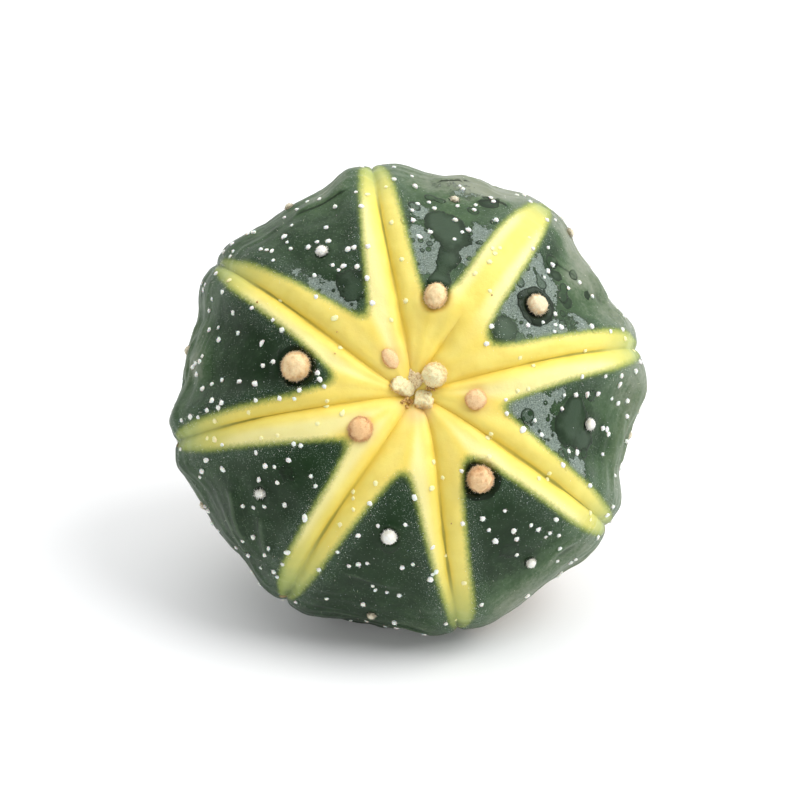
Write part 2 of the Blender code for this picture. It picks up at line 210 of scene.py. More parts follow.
# How far a tuft stands from its CAD node's middle, mm to the right and mm up as the front sees it
NUDGES = {
    "4_1": (1.0, -0.1), "7_1": (-0.4, 0.0), "3_1": (-0.45, -0.4), "5_1": (-0.4, 0.0), "8_1": (-0.45, -0.1),
    "7_2": (-0.3, 0.0),
}
FRONT_UP = (0.45, 0.89)  # up as the front sees it, along +Y and +Z

# Flecks that stand in rows: the first one's (turn, mm along), the step to the next, and how many
FLECK_ROWS = (
    ((7.68, 21.8), (0.013, 2.1), 4), ((0.66, 25.5), (0.02, 1.5), 3), ((2.64, 29.8), (0.01, -1.5), 3),
    ((2.8, 30), (-0.02, -0.75), 3), ((3.74, 31), (-0.027, -1.8), 3), ((3.7, 23.8), (0.02, -2.8), 2),
    ((4.36, 22.2), (0.04, -1.2), 2), ((5.28, 26.2), (0.06, -0.6), 3), ((6.36, 20), (0.01, 2.1), 3),
    ((6.66, 25.5), (0.02, 1.5), 2), ((5.66, 25), (0.08, -0.8), 2), ((4.18, 18.5), (-0.02, 2.3), 2),
    ((4.3, 17), (0.04, -0.8), 2), ((1.66, 28.2), (-0.04, -1.2), 2), ((1.38, 23.5), (-0.04, 0.7), 2),
    ((1.36, 28.8), (0, 1.4), 2), ((7.7, 31.8), (-0.02, 1.7), 2), ((7.26, 24.2), (0.02, 1.8), 2),
)


def smooth_step(low, high, value):
    share = np.clip((value - low) / (high - low), 0, 1)
    return share * share * (3 - 2 * share)


def bell(away, width):
    return np.exp(-((away / width) ** 2))


def knots(pairs, length):
    return np.interp(length / MM, [at for at, _ in pairs], [value for _, value in pairs])


def smooth_profile(steps=24):
    inner = np.array(PROFILE) * RIM
    points = np.vstack([inner[1] * (-1, 1), inner, inner[-2] * (-1, 1)])
    share = np.linspace(0, 1, steps, endpoint=False)[:, None]
    runs = []
    for a, b, c, d in zip(points, points[1:], points[2:], points[3:]):
        runs.append(
            b
            + share * (c - a) / 2
            + share**2 * (a - 2.5 * b + 2 * c - d / 2)
            + share**3 * (1.5 * (b - c) + (d - a) / 2)
        )
    curve = np.vstack([*runs, inner[-1:]])
    lengths = np.concatenate([[0], np.cumsum(np.linalg.norm(np.diff(curve, axis=0), axis=1))])
    return lengths, curve


LENGTHS, CURVE = smooth_profile()
SKIN_LENGTH = LENGTHS[-1]


def meridian(length):
    tangent = np.gradient(CURVE, LENGTHS, axis=0)
    tangent /= np.linalg.norm(tangent, axis=1)[:, None]
    out, up = (np.interp(length, LENGTHS, CURVE[:, i]) for i in (0, 1))
    along_out, along_up = (np.interp(length, LENGTHS, tangent[:, i]) for i in (0, 1))
    return out, up, -along_up, along_out


def rib_place(length, turn):
    rib = np.floor(turn).astype(int) % RIBS
    across = turn - np.floor(turn)
    bearings = np.radians((*FURROW_BEARINGS, FURROW_BEARINGS[0] + 360))
    swings = np.radians((*FURROW_SWINGS, FURROW_SWINGS[0]))
    swung = np.exp(-length / SWING_FADE)
    near = bearings[rib] + swings[rib] * swung
    far = bearings[rib + 1] + swings[rib + 1] * swung
    return rib, across, (far - near) / 2, near + across * (far - near)


def to_crease(out, across, half_angle):
    from_middle = np.hypot(2 * across - 1, RIB_ROUNDING)
    furrow_value = math.hypot(1, RIB_ROUNDING)
    return out * half_angle * (furrow_value - from_middle) * furrow_value


def furrow_cut(length, out, rib, across, half_angle):
    away = to_crease(out, across, half_angle)
    furrow = (rib + (across > 0.5)) % RIBS
    fusing = smooth_step(FUSED_FROM, FUSED_TO, length)
    strength = np.where(furrow == FUSED_FURROW, 1 - fusing, 1)
    valley = knots(VALLEY_DEPTHS, length) * MM * np.clip(1 - away / VALLEY_WIDTH, 0, 1) ** 1.5
    crease = knots(CREASE_DEPTHS, length) * MM * np.clip(1 - away / CREASE_WIDTH, 0, 1) ** 2
    above_collar = smooth_step(SKIN_LENGTH, COLLAR_FROM * SKIN_LENGTH, length)
    return strength * (valley + crease * above_collar)


def turns_past(turn, start):
    """How many ribs a turn is past another, the short way round."""
    return (turn - start + RIBS / 2) % RIBS - RIBS / 2


def furrow_near(turn):
    return np.round(turn).astype(int) % RIBS


def blobs(places, length, turn):
    """The sum of soft round blobs, each (turn, mm along, mm wide, height)."""
    out, half_angle = meridian(length)[0], rib_place(length, turn)[2]
    total = np.zeros(np.broadcast(length, turn).shape)
    for blob_turn, blob_mm, width_mm, height in places:
        beside = turns_past(turn, blob_turn) * 2 * half_angle * out
        total = total + height * bell(np.hypot(beside, length - blob_mm * MM), width_mm * MM)
    return total


def skin(length, turn):
    """Points on the CAD part's skin, in the plant's frame."""
    length, turn = np.broadcast_arrays(np.asarray(length, float), np.asarray(turn, float))
    out, up, normal_out, normal_up = meridian(length)
    rib, across, half_angle, bearing = rib_place(length, turn)
    sink = np.array(RIB_SINKS)[rib] * MM * knots(SINK_SHARES, length)
    sunken = sink * (1 - smooth_step(LIP_FROM, LIP_TO, np.abs(2 * across - 1)))
    cut = furrow_cut(length, out, rib, across, half_angle)
    rise = blobs(LUMPS, length, turn) * MM - sunken - cut
    out, up = out + normal_out * rise, up + normal_up * rise
    shift = smooth_step(CROWN_BLEND, 0, length)
    x = out * np.cos(bearing) + CROWN_OFFSET[0] * shift
    y = out * np.sin(bearing) + CROWN_OFFSET[1] * shift
    return np.stack([x, y, up], axis=-1)


TILT = np.array(Matrix.Rotation(LEAN, 3, "X"))


def leaned(points):
    """From the plant's frame to the row's."""
    return points @ TILT.T + np.array(RING_CENTRE)

# --- Noise for shapes ---

HASH_STEPS = (73856093, 19349663, 83492791, 2654435761)
HASH_MIXES = ((15, 2246822519), (13, 3266489917))
HASH_BITS = 0xFFFFFFFF


def lattice_value(*numbers):
    """A number from -1 to 1 for each cell and seed, the same each time."""
    value = 0
    for number, step in zip(numbers, HASH_STEPS):
        value = value ^ (number * step)
    value = value & HASH_BITS
    for shift, factor in HASH_MIXES:
        value = ((value ^ (value >> shift)) * factor) & HASH_BITS
    return ((value ^ (value >> 16)) & 0xFFFFFF) / 0x7FFFFF - 1.0


def lattice_noise(points, size, seed):
    """Smooth noise from -1 to 1 with features about `size` long."""
    scaled = np.asarray(points) / size
    cell = np.floor(scaled).astype(np.int64)
    part = scaled - cell
    part = part**3 * (part * (part * 6 - 15) + 10)
    total = 0
    for corner in np.ndindex(2, 2, 2):
        weight = np.prod([part[..., i] if corner[i] else 1 - part[..., i] for i in range(3)], axis=0)
        total = total + weight * lattice_value(*(cell[..., i] + corner[i] for i in range(3)), seed)
    return total


def ridges(points, size, seed):
    """Noise from -1 to 1 that peaks in sharp ridges."""
    return 1 - 2 * np.abs(lattice_noise(points, size, seed))


# --- The skin's mesh and what it carries ---


def skin_grid():
    fine = np.linspace(0, FINE_TO * MM, FINE_ROWS, endpoint=False)
    coarse = np.linspace(FINE_TO * MM, SKIN_LENGTH, COARSE_ROWS)
    lengths = np.concatenate([fine, coarse])
    even = np.arange(RIBS * RIB_COLUMNS) / RIB_COLUMNS
    turns = even - CROWDING * np.sin(TAU * even) / TAU
    return lengths, turns


ROW_LENGTHS, COLUMN_TURNS = skin_grid()
LENGTH_GRID, TURN_GRID = np.meshgrid(ROW_LENGTHS, COLUMN_TURNS, indexing="ij")


def grid_normals(points):
    along = np.gradient(points, axis=0)
    around = np.roll(points, -1, axis=1) - np.roll(points, 1, axis=1)
    normals = np.cross(along, around)
    normals /= np.maximum(np.linalg.norm(normals, axis=-1, keepdims=True), 1e-12)
    return normals


def arm_width(furrow, side, length_mm):
    """Half width of the yellow beside a furrow, in mm; side is 0 clockwise of it, 1 anticlockwise."""
    widths = np.array(ARM_WIDTHS)[furrow, side]
    share = (length_mm - ARM_NEAR) / (ARM_FAR - ARM_NEAR)
    width = widths[..., 0] + np.clip(share, 0, ARM_STEADY) * (widths[..., 1] - widths[..., 0])
    width = width + ARM_SPREAD * np.clip(ARM_NEAR - length_mm, 0, None)
    left = np.clip((np.array(ARM_TIPS)[furrow] - length_mm) / np.array(TIP_TAPERS)[furrow], -1, 1)
    return width * np.where(left > 0, np.clip(1 - (1 - left) ** 2, 0, 1) ** TIP_BLUNTNESS, left)


def soft_min(values, rounding):
    stacked = np.stack(values)
    lowest = stacked.min(0)
    return lowest - rounding * np.log(np.exp(-(stacked - lowest) / rounding).sum(0))


def green_depth(length, turn):
    """Distance into the green from the star's border, in mm, negative in the yellow."""
    rib, across, half_angle, _ = rib_place(length, turn)
    width_mm = 2 * half_angle * meridian(length)[0] / MM
    length_mm = length / MM
    from_first = across * width_mm - arm_width(rib, 1, length_mm)
    from_next = (1 - across) * width_mm - arm_width((rib + 1) % RIBS, 0, length_mm)
    from_apex = (length_mm - np.array(APEXES)[rib]) * APEX_SHARPNESS
    return soft_min([from_first, from_next, from_apex], APEX_ROUNDING) + APEX_ROUNDING * 0.5


def tuft_places():
    for rib, places in enumerate(TUFTS):
        for place, (along_mm, across, width_mm) in enumerate(places):
            yield f"{rib + 1}_{place + 1}", along_mm * MM, rib + across, width_mm * MM / 2


def hollow(away, radius):
    """A tuft's pit in the skin, with a low brim round it."""
    pit = -PIT_DEPTH * radius * np.exp(-((away / (PIT_REACH * radius)) ** 4))
    return pit + BRIM_HEIGHT * radius * bell(away - BRIM_AT * radius, BRIM_WIDTH * radius)


def nudge(label):
    right, up = NUDGES.get(label, (0, 0))
    return np.array((right, FRONT_UP[0] * up, FRONT_UP[1] * up)) * MM


def round_the_ribs(values, turn):
    """A value between those at the ribs' middles."""
    middles = np.arange(-1, RIBS + 1) + 0.5
    return np.interp(turn % RIBS, middles, [values[-1], *values, values[0]])


def tip_share(length, turn):
    """How far an arm has faded out: 0 in the yellow, 1 at its tip."""
    furrow = furrow_near(turn)
    left_mm = np.array(ARM_TIPS)[furrow] - length / MM
    return np.clip(1 - left_mm / np.array(TIP_FADES)[furrow], 0, 1)


def folds(points, length, turn):
    """How far the skin rises in its folds, how far in mm each place is past the nearest fold's sharp foot,
    and how strongly that fold's painted highlight and shadow are drawn there."""
    rise, strength, past_foot = np.zeros(length.shape), np.zeros(length.shape), np.full(length.shape, FAR)
    mm_a_turn = 2 * rib_place(length, turn)[2] * meridian(length)[0] / MM
    wobble = FOLD_WOBBLE * lattice_noise(points, FOLD_WOBBLE_LONG * MM, 61)
    for (turn_a, mm_a), (turn_b, mm_b), height_mm, sharp_side in FOLDS:
        beside, beyond = turns_past(turn, turn_a) * mm_a_turn, length / MM - mm_a
        run_beside, run_beyond = (turn_b - turn_a) * mm_a_turn, mm_b - mm_a
        run = np.hypot(run_beside, run_beyond)
        share = np.clip((beside * run_beside + beyond * run_beyond) / run**2, 0, 1)
        outward = (beyond * run_beside - beside * run_beyond) / run * np.sign(run_beside)
        across = outward * sharp_side + wobble
        ends = smooth_step(0, FOLD_ENDS, share) * smooth_step(1, 1 - FOLD_ENDS, share)
        rise += height_mm * MM * ends * bell(across, np.where(across > 0, FOLD_STEEP, FOLD_GENTLE))
        nearer = np.abs(across - FOLD_FOOT) < np.abs(past_foot)
        past_foot = np.where(nearer, across - FOLD_FOOT, past_foot)
        strength = np.where(nearer, FOLD_SHADE * height_mm * ends, strength)
    return rise, past_foot, strength


def wrinkles(points, length, turn):
    """How far shrunken folds rise, which run round the plant's flanks, and how high on them a place is,
    which the skin's material paints as highlight on their crests and shade in their troughs.
    """
    bearing = rib_place(length, turn)[3]
    ring, level = RIM * WRINKLE_RING / (WRINKLE_LONG * MM), length / (WRINKLE_APART * MM)
    places = np.stack([ring * np.cos(bearing), ring * np.sin(bearing), level], axis=-1)
    height = ridges(places, 1.0, 21) + 0.5 * ridges(places, 0.5, 22)
    patchy = smooth_step(-0.35, 0.45, lattice_noise(points, WRINKLE_PATCH, 33))
    there = smooth_step(WRINKLED_FROM, WRINKLED_TO, length / MM) * (SMOOTHEST + (1 - SMOOTHEST) * patchy)
    bark = BARK_HEIGHT * smooth_step(BARK_FROM, BARK_TO, length / MM) * ridges(points, BARK_GRAIN, 23)
    return WRINKLE_HEIGHT * MM * height * there + bark * MM, height * there


def relief(points, length, turn):
    """How far the finer steps rise from the skin, and the values that come of it."""
    shown = smooth_step(WAVES_FROM, WAVES_TO, length / MM)
    rise = np.zeros(length.shape)
    for size_mm, height_mm, seed in WAVES:
        rise += height_mm * MM * lattice_noise(points, size_mm * MM, seed) * shown
    wrinkled, wrinkle_shading = wrinkles(points, length, turn)
    fold_rise, past_foot, fold_shade_strength = folds(points, length, turn)
    rise += wrinkled
    rise += blobs(SWELLS, length, turn) * MM
    rise += fold_rise
    tuft_mm, ring = np.full(length.shape, FAR), np.full(length.shape, FAR)
    for label, at, tuft_turn, radius in tuft_places():
        away = np.linalg.norm(points - leaned(skin(at, tuft_turn)) - nudge(label), axis=-1)
        rise += hollow(away, radius) * (CROWN_PITS if at < CROWN_TO else 1)
        tuft_mm = np.minimum(tuft_mm, (away - radius) / MM)
        if label in DARK_RINGS:
            ring = np.minimum(ring, (away - radius) / MM / DARK_RINGS[label])
    return rise, {"wrinkle_shading": wrinkle_shading, "past_foot": past_foot, "fold_shade_strength": fold_shade_strength,
                  "tuft_mm": tuft_mm, "ring": ring}


def painted_sheen(length, turn):
    """How much painted sheen greys the green: the key light's broad reflection, strongest on the right-hand
    ribs and at their rims.
    """
    out_there = smooth_step(*PAINTED_SHEEN_OUT, length / MM)
    rib_sheen = round_the_ribs(PAINTED_SHEENS, turn) * (PAINTED_SHEEN_INSIDE + PAINTED_SHEEN_OUTSIDE * out_there)
    rim_sheen = out_there * round_the_ribs(PAINTED_RIM_SHEEN, turn) * PAINTED_RIM_SHEEN_SHARE
    return rib_sheen + rim_sheen + blobs(PAINTED_SHEEN_SPOTS, length, turn)


def ridge_highlight(length, turn, crease_mm):
    """How strong the painted highlight on the arms' ridges is, stronger on the side that faces the key
    light.
    """
    from_furrow, furrow = turn - np.round(turn), furrow_near(turn)
    on_unlit_side = np.array(HIGHLIGHTED_SIDES)[furrow] * np.sign(from_furrow) < 0
    ridge = smooth_step(*HIGHLIGHT_RISES, crease_mm) * smooth_step(*HIGHLIGHT_ENDS, crease_mm)
    highlight_free = HIGHLIGHT_FREE_CROWN * (furrow == FUSED_FURROW) * smooth_step(*HIGHLIGHT_FREE_TO, length / MM)
    return np.where(on_unlit_side, UNLIT_SIDE_HIGHLIGHT, 1.0) * ridge * smooth_step(0.5, 0.3, np.abs(from_furrow)) * (1 - highlight_free)


def shaped_skin():
    """Points, normals and the values that the material reads, on the grid."""
    length, turn = LENGTH_GRID, TURN_GRID
    points = leaned(skin(length, turn))
    normals = grid_normals(points)
    rise, values = relief(points, length, turn)
    points = points + normals * rise[..., None]
    points[..., 2] = np.maximum(points[..., 2], 0)
    crease_mm = to_crease(meridian(length)[0], turn % 1, rib_place(length, turn)[2]) / MM
    fused = (furrow_near(turn) == FUSED_FURROW) * smooth_step(FUSED_FROM, FUSED_TO, length)
    drops = [(*drop, 1) for drop in DROPS]
    for key, places in (("bloom", BLOOM), ("pool", POOLS), ("flush", FLUSH), ("drops", drops)):
        values[key] = blobs(places, length, turn)
    corky = length / MM - round_the_ribs(CORK_FROM, turn) + CORK_SPREAD * blobs(CORK_SPOTS, length, turn)
    return points, normals, values | {
        "green_mm": green_depth(length, turn), "crease_mm": crease_mm + FAR * fused, "along_mm": length / MM,
        "ridge_highlight": ridge_highlight(length, turn, crease_mm), "painted_sheen": painted_sheen(length, turn), "corky": corky,
        "tip_share": tip_share(length, turn),
    }


SKIN_POINTS, SKIN_NORMALS, SKIN_VALUES = shaped_skin()


def on_skin(length, turn, grid):
    """A grid's value between its rows and columns."""
    row = np.interp(length, ROW_LENGTHS, np.arange(len(ROW_LENGTHS)))
    wrapped = np.append(COLUMN_TURNS, RIBS)
    column = np.interp(turn % RIBS, wrapped, np.arange(len(wrapped)))
    r0 = np.clip(np.floor(row).astype(int), 0, len(ROW_LENGTHS) - 2)
    c0 = np.floor(column).astype(int) % len(COLUMN_TURNS)
    c1 = (c0 + 1) % len(COLUMN_TURNS)
    fr, fc = row - r0, column - np.floor(column)
    if grid.ndim == 3:
        fr, fc = np.asarray(fr)[..., None], np.asarray(fc)[..., None]
    top = grid[r0, c0] * (1 - fc) + grid[r0, c1] * fc
    bottom = grid[r0 + 1, c0] * (1 - fc) + grid[r0 + 1, c1] * fc
    return top * (1 - fr) + bottom * fr


def rooted(lengths, turns, lowest=0.0):
    """Points on the skin above a height, and the directions straight out from it."""
    points, normals = on_skin(lengths, turns, SKIN_POINTS), on_skin(lengths, turns, SKIN_NORMALS)
    above = points[:, 2] > lowest
    return points[above], normals[above]


def green_at(lengths, turns):
    return on_skin(lengths, turns, SKIN_VALUES["green_mm"])


def placed(name, data):
    """A new object in the scene."""
    made = bpy.data.objects.new(name, data)
    bpy.context.scene.collection.objects.link(made)
    return made


def piece(name, vertices, faces, material, values=None):
    mesh = bpy.data.meshes.new(name)
    mesh.from_pydata(np.asarray(vertices).tolist(), [], faces)
    mesh.update()
    mesh.shade_smooth()
    mesh.materials.append(material)
    for key, value in (values or {}).items():
        layer = mesh.attributes.new(key, "FLOAT", "POINT")
        layer.data.foreach_set("value", np.asarray(value, np.float32).ravel())
    made = placed(name, mesh)
    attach(made, "root")
    return made


def unrolled(grid):
    """A grid's values in the order of the skin's vertices, with one for each end."""
    return np.concatenate([grid[:1, 0], grid[1:-1].reshape(-1, *grid.shape[2:]), grid[-1:, 0]])


def make_skin(material):
    rows, columns = LENGTH_GRID.shape
    vertices = unrolled(SKIN_POINTS)
    index = 1 + np.arange((rows - 2) * columns).reshape(rows - 2, columns)
    following = np.roll(index, -1, axis=1)
    quads = np.stack([index[:-1], index[1:], following[1:], following[:-1]], axis=-1).reshape(-1, 4)
    first = [(0, a, b) for a, b in zip(index[0].tolist(), following[0].tolist())]
    last = len(vertices) - 1
    final = [(last, b, a) for a, b in zip(index[-1].tolist(), following[-1].tolist())]
    values = {key: unrolled(grid) for key, grid in SKIN_VALUES.items()}
    made = piece("cactus_skin", vertices, first + quads.tolist() + final, material, values)
    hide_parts("cactus_body")


# --- Materials ---


def linear(colour):
    """A colour of 0 to 255, as screens have it, in linear light and opaque."""
    shares = [c / 255 for c in colour]
    return (*(s / 12.92 if s <= 0.04045 else ((s + 0.055) / 1.055) ** 2.4 for s in shares), 1)


def put(socket, value):
    """Gives a socket a node's output, a colour of 0 to 255 or a number."""
    if hasattr(value, "is_linked"):
        socket.id_data.links.new(value, socket)
    else:
        socket.default_value = linear(value) if isinstance(value, tuple) else value


def add_node(tree, kind, inputs, **settings):
    made = tree.nodes.new("ShaderNode" + kind)
    for key, value in settings.items():
        setattr(made, key, value)
    for key, value in inputs.items():
        put(made.inputs[key], value)
    return made


def map_range(tree, value, low, high, bottom, top, kind="SMOOTHSTEP"):
    """A step from bottom, where the value is low, to top, where it is high."""
    ends = {"From Min": low, "From Max": high, "To Min": bottom, "To Max": top}
    return add_node(tree, "MapRange", {"Value": value, **ends}, interpolation_type=kind).outputs["Result"]


class Shader:
    """A Principled material, with short calls for the nodes that colour it."""

    def __init__(self, name, **sockets):
        self.material = bpy.data.materials.new(name)
        self.material.use_nodes = True
        self.tree = self.material.node_tree
        self.out = self.tree.nodes["Principled BSDF"]
        for key, value in sockets.items():
            self.out.inputs[key.replace("_", " ")].default_value = value
        self.coordinates = self.node("TexCoord").outputs["Object"]

    def set(self, name, value):
        put(self.out.inputs[name], value)

    def node(self, kind, inputs=(), **settings):
        return add_node(self.tree, kind, dict(inputs), **settings)

    def attribute(self, name):
        return self.node("Attribute", attribute_name=name).outputs["Fac"]

    def noise(self, size_mm, detail=2, roughness=0.5, offset=0):
        """Noise from 0 to 1 with features about size_mm long."""
        moved = self.node("Mapping", {"Vector": self.coordinates, "Location": Vector((offset,) * 3)})
        return self.node("TexNoise", {"Vector": moved.outputs["Vector"], "Scale": 1 / (size_mm * MM),
                                      "Detail": detail, "Roughness": roughness}).outputs["Fac"]

    def cells(self, size_mm):
        """Cells about size_mm wide: the distance from each one's middle, and its random share."""
        found = self.node("TexVoronoi", {"Vector": self.coordinates, "Scale": 1 / (size_mm * MM)})
        parts = self.node("SeparateColor", {0: found.outputs["Color"]})
        return found.outputs["Distance"], parts.outputs[0]

    def math(self, operation, *values, clamp=False):
        return self.node("Math", enumerate(values), operation=operation, use_clamp=clamp).outputs[0]

    def times(self, share, *others):
        """The product of several shares."""
        for other in others:
            share = self.math("MULTIPLY", share, other, clamp=True)
        return share

    def wander(self, value, noise, reach):
        """A value that strays by up to half of reach each way."""
        return self.math("MULTIPLY_ADD", self.math("SUBTRACT", noise, 0.5), reach, value)

    def step(self, value, low, high, top=1, bottom=0):
        return map_range(self.tree, value, low, high, bottom, top)

    def mix(self, share, a, b, kind="RGBA"):
        return self.node("Mix", {"Factor": share, "A": a, "B": b}, data_type=kind).outputs["Result"]

    def over(self, base, *layers, kind="RGBA"):
        """A colour or number with others over it, each (share, value)."""
        for share, value in layers:
            base = self.mix(share, base, value, kind)
        return base

    def ramp(self, value, *stops):
        """Colours that turn into each other between stops, each (value, colour)."""
        low, high = stops[0][0], stops[-1][0]
        made = self.node("ValToRGB", {"Fac": map_range(self.tree, value, low, high, 0, 1, "LINEAR")})
        elements = made.color_ramp.elements
        for at, _ in stops[1:-1]:
            elements.new((at - low) / (high - low))
        for element, (_, colour) in zip(elements, stops):
            element.color = linear(colour)
        return made.outputs["Color"]

    def bump(self, *layers):
        """Bumps from (height, millimetres) pairs, one on another."""
        under = {}
        for height, depth_mm in layers:
            made = self.node("Bump", {"Height": height, "Strength": 1, "Distance": depth_mm * MM, **under})
            under = {"Normal": made.outputs["Normal"]}
        self.set("Normal", under["Normal"])


def yellow_skin(s):
    """Lemon at the crown and along the arms, with painted highlights on their ridges and a painted shadow
    line in their outer creases, olive towards their tips.
    """
    crease_mm, along_mm = s.attribute("crease_mm"), s.attribute("along_mm")
    crease_shadow_line = s.times(s.step(crease_mm, 0.26, 0.04), s.step(along_mm, 10, 25, 0.65, 0.04))
    fade = s.wander(s.attribute("tip_share"), s.middling, 0.22)
    return s.over(
        s.ramp(along_mm, (0, (251, 222, 110)), (6, (249, 224, 112)), (12, (244, 220, 108)),
               (20, (237, 218, 106)), (38, (232, 221, 118))),
        (s.step(s.middling, 0.35, 0.7, 0.30), (252, 238, 134)),
        # painted highlight on the arms' ridges
        (s.times(s.attribute("ridge_highlight"), 0.6), (252, 247, 188)),
        (s.step(s.grain, 0.5, 0.75, 0.10), (226, 196, 84)),
        (s.step(crease_mm, 0.8, 0, 0.5), (240, 206, 66)),
        # painted shadow: a thin dark line in the outer creases
        (crease_shadow_line, (128, 134, 56)),
        (s.times(s.attribute("flush"), 0.7), (240, 200, 144)),
        (s.step(fade, 0, 0.40), (214, 208, 112)),
        (s.step(fade, 0.30, 0.75), (172, 182, 106)),
        (s.step(fade, 0.68, 1), (84, 104, 64)),
    )


def green_skin(s):
    """Deep where it is wet, greyed with a painted sheen on the right, and on the flanks paler with painted
    highlights on the wrinkles' crests and darker with painted shade in their troughs.
    """
    painted_sheen_field = s.wander(s.wander(s.attribute("painted_sheen"), s.middling, 0.5), s.fine, 0.5)
    wrinkle_shading = s.attribute("wrinkle_shading")
    return s.over(
        (10, 34, 10),
        (s.step(s.broad, 0.3, 0.7), (20, 47, 19)),
        (s.step(s.middling, 0.35, 0.75, 0.45), (34, 60, 33)),
        # painted sheen: paler, greyer green where the key light's reflection is painted
        (s.step(painted_sheen_field, 0.05, 0.75), (66, 91, 58)),
        (s.step(painted_sheen_field, 0.55, 1.15), (134, 140, 122)),
        (s.step(s.fine, 0.55, 0.8, 0.2), (84, 102, 80)),
        # painted highlight on the wrinkles' crests, painted shade in their troughs
        (s.step(wrinkle_shading, 0.25, 0.95, 0.45), (102, 116, 90)),
        (s.step(wrinkle_shading, -0.1, -0.6, 0.6), (22, 38, 20)),
    )


def misted(s, green):
    """With a mist of the finest scales, thickest beside the star."""
    green_mm = s.attribute("green_mm")
    dot, dot_luck = s.cells(0.18)
    near = s.times(s.step(green_mm, 0.1, 0.6), s.step(green_mm, 3.4, 0.8))
    mist = s.math("ADD", s.times(near, 0.85), s.step(s.broad, 0.35, 0.7, 0.28, 0.06))
    dots = s.times(s.step(dot, 0.34, 0.20, 0.55), s.math("GREATER_THAN", mist, dot_luck))
    return s.over(green, (s.times(near, 0.22), (72, 92, 74)), (dots, (142, 158, 142)))


def frosted(s, green):
    """With frosted bloom and beads of water in it; also where it is dry, and where it has beads."""
    ragged = s.wander(s.wander(s.attribute("bloom"), s.noise(1.5, 4, 0.6, offset=11), 1.3), s.fine, 0.6)
    frost = s.step(ragged, 0.50, 0.55)
    edge = s.times(s.step(ragged, 0.34, 0.48, 0.6), s.step(ragged, 0.55, 0.50))
    salt = s.mix(s.step(s.noise(0.16, 2, 0.7, offset=9), 0.36, 0.64), (90, 103, 95), (148, 160, 152))
    bead, bead_luck = s.cells(1.1)
    here = s.math("GREATER_THAN", 0.30, bead_luck)
    in_bead = s.times(s.step(bead, 0.36, 0.31), here)
    bead_rim = s.times(s.step(bead, 0.40, 0.36, 0.8), s.step(bead, 0.26, 0.32), here, frost)
    dry = s.times(frost, s.math("SUBTRACT", 1, in_bead))
    green = s.over(green, (edge, (16, 32, 15)), (s.times(dry, 0.9), salt), (bead_rim, (14, 28, 13)))
    return green, dry, s.times(in_bead, frost)


def pooled(s, green):
    """With pools of still water, paler in their middles with a painted sheen; also the field that they rise
    from.
    """
    field = s.wander(s.wander(s.attribute("pool"), s.noise(2.2, 4, 0.55, offset=13), 1), s.fine, 0.2)
    pool = s.step(field, 0.48, 0.53)
    still = s.mix(s.step(s.noise(3.2, 3, 0.6, offset=19), 0.42, 0.68, 0.7), (9, 31, 10), (30, 54, 28))
    sheen = s.step(s.wander(field, s.middling, 0.9), 0.62, 1.15, 0.75)
    rim = s.step(field, 0.66, 0.54, 0.7)
    green = s.over(green, (s.times(pool, 0.92), still), (s.times(sheen, pool), (58, 76, 58)),
                   (s.times(pool, rim), (12, 26, 11)))
    return green, field


def wetted(s, green):
    """With drops, dark at the rim, and a dark ring round some larger tufts; also the drops' field."""
    field = s.wander(s.attribute("drops"), s.fine, 0.25)
    drop, rim = s.step(field, 0.42, 0.50), s.step(field, 0.70, 0.56, 0.8)
    ring = s.wander(s.attribute("ring"), s.middling, 1.2)
    dark_ring_line = s.times(s.step(ring, 1.25, 1.1), s.step(ring, 0.9, 1.05))
    green = s.over(green, (s.times(drop, 0.6), (32, 58, 31)), (s.times(drop, rim), (13, 28, 12)),
                   (s.step(ring, 1.1, 0.95, 0.85), (10, 24, 8)), (dark_ring_line, (8, 18, 7)))
    return green, field


def fold_shaded(s, green):
    """With painted highlights on the folds' crests and painted shadow along their sharp feet."""
    past_foot, fold = s.attribute("past_foot"), s.attribute("fold_shade_strength")
    from_crest = s.math("ABSOLUTE", s.math("ADD", past_foot, 0.55))
    crest_highlight = s.times(s.step(from_crest, 0.5, 0.05, 0.4), fold)
    foot = s.times(s.step(s.math("ABSOLUTE", past_foot), 0.20, 0.05, 0.9), fold)
    return s.over(green, (crest_highlight, (104, 124, 96)), (foot, (11, 22, 10)))


def old_cork(s):
    """Cork round the old base: its colour, how far in mm it has spread, and its cracks."""
    spread = s.wander(s.attribute("corky"), s.broad, 20)
    plates, cracks = s.noise(1.8, 4, 0.65, offset=15), s.noise(0.9, 4, 0.7, offset=17)
    cork = s.over((116, 92, 66), (s.step(plates, 0.3, 0.7), (172, 148, 112)),
                  (s.step(cracks, 0.44, 0.34, 0.75), (74, 56, 40)),
                  (s.step(spread, 14, 4, 0.6), (110, 104, 66)))
    return cork, s.wander(spread, s.fine, 5), cracks


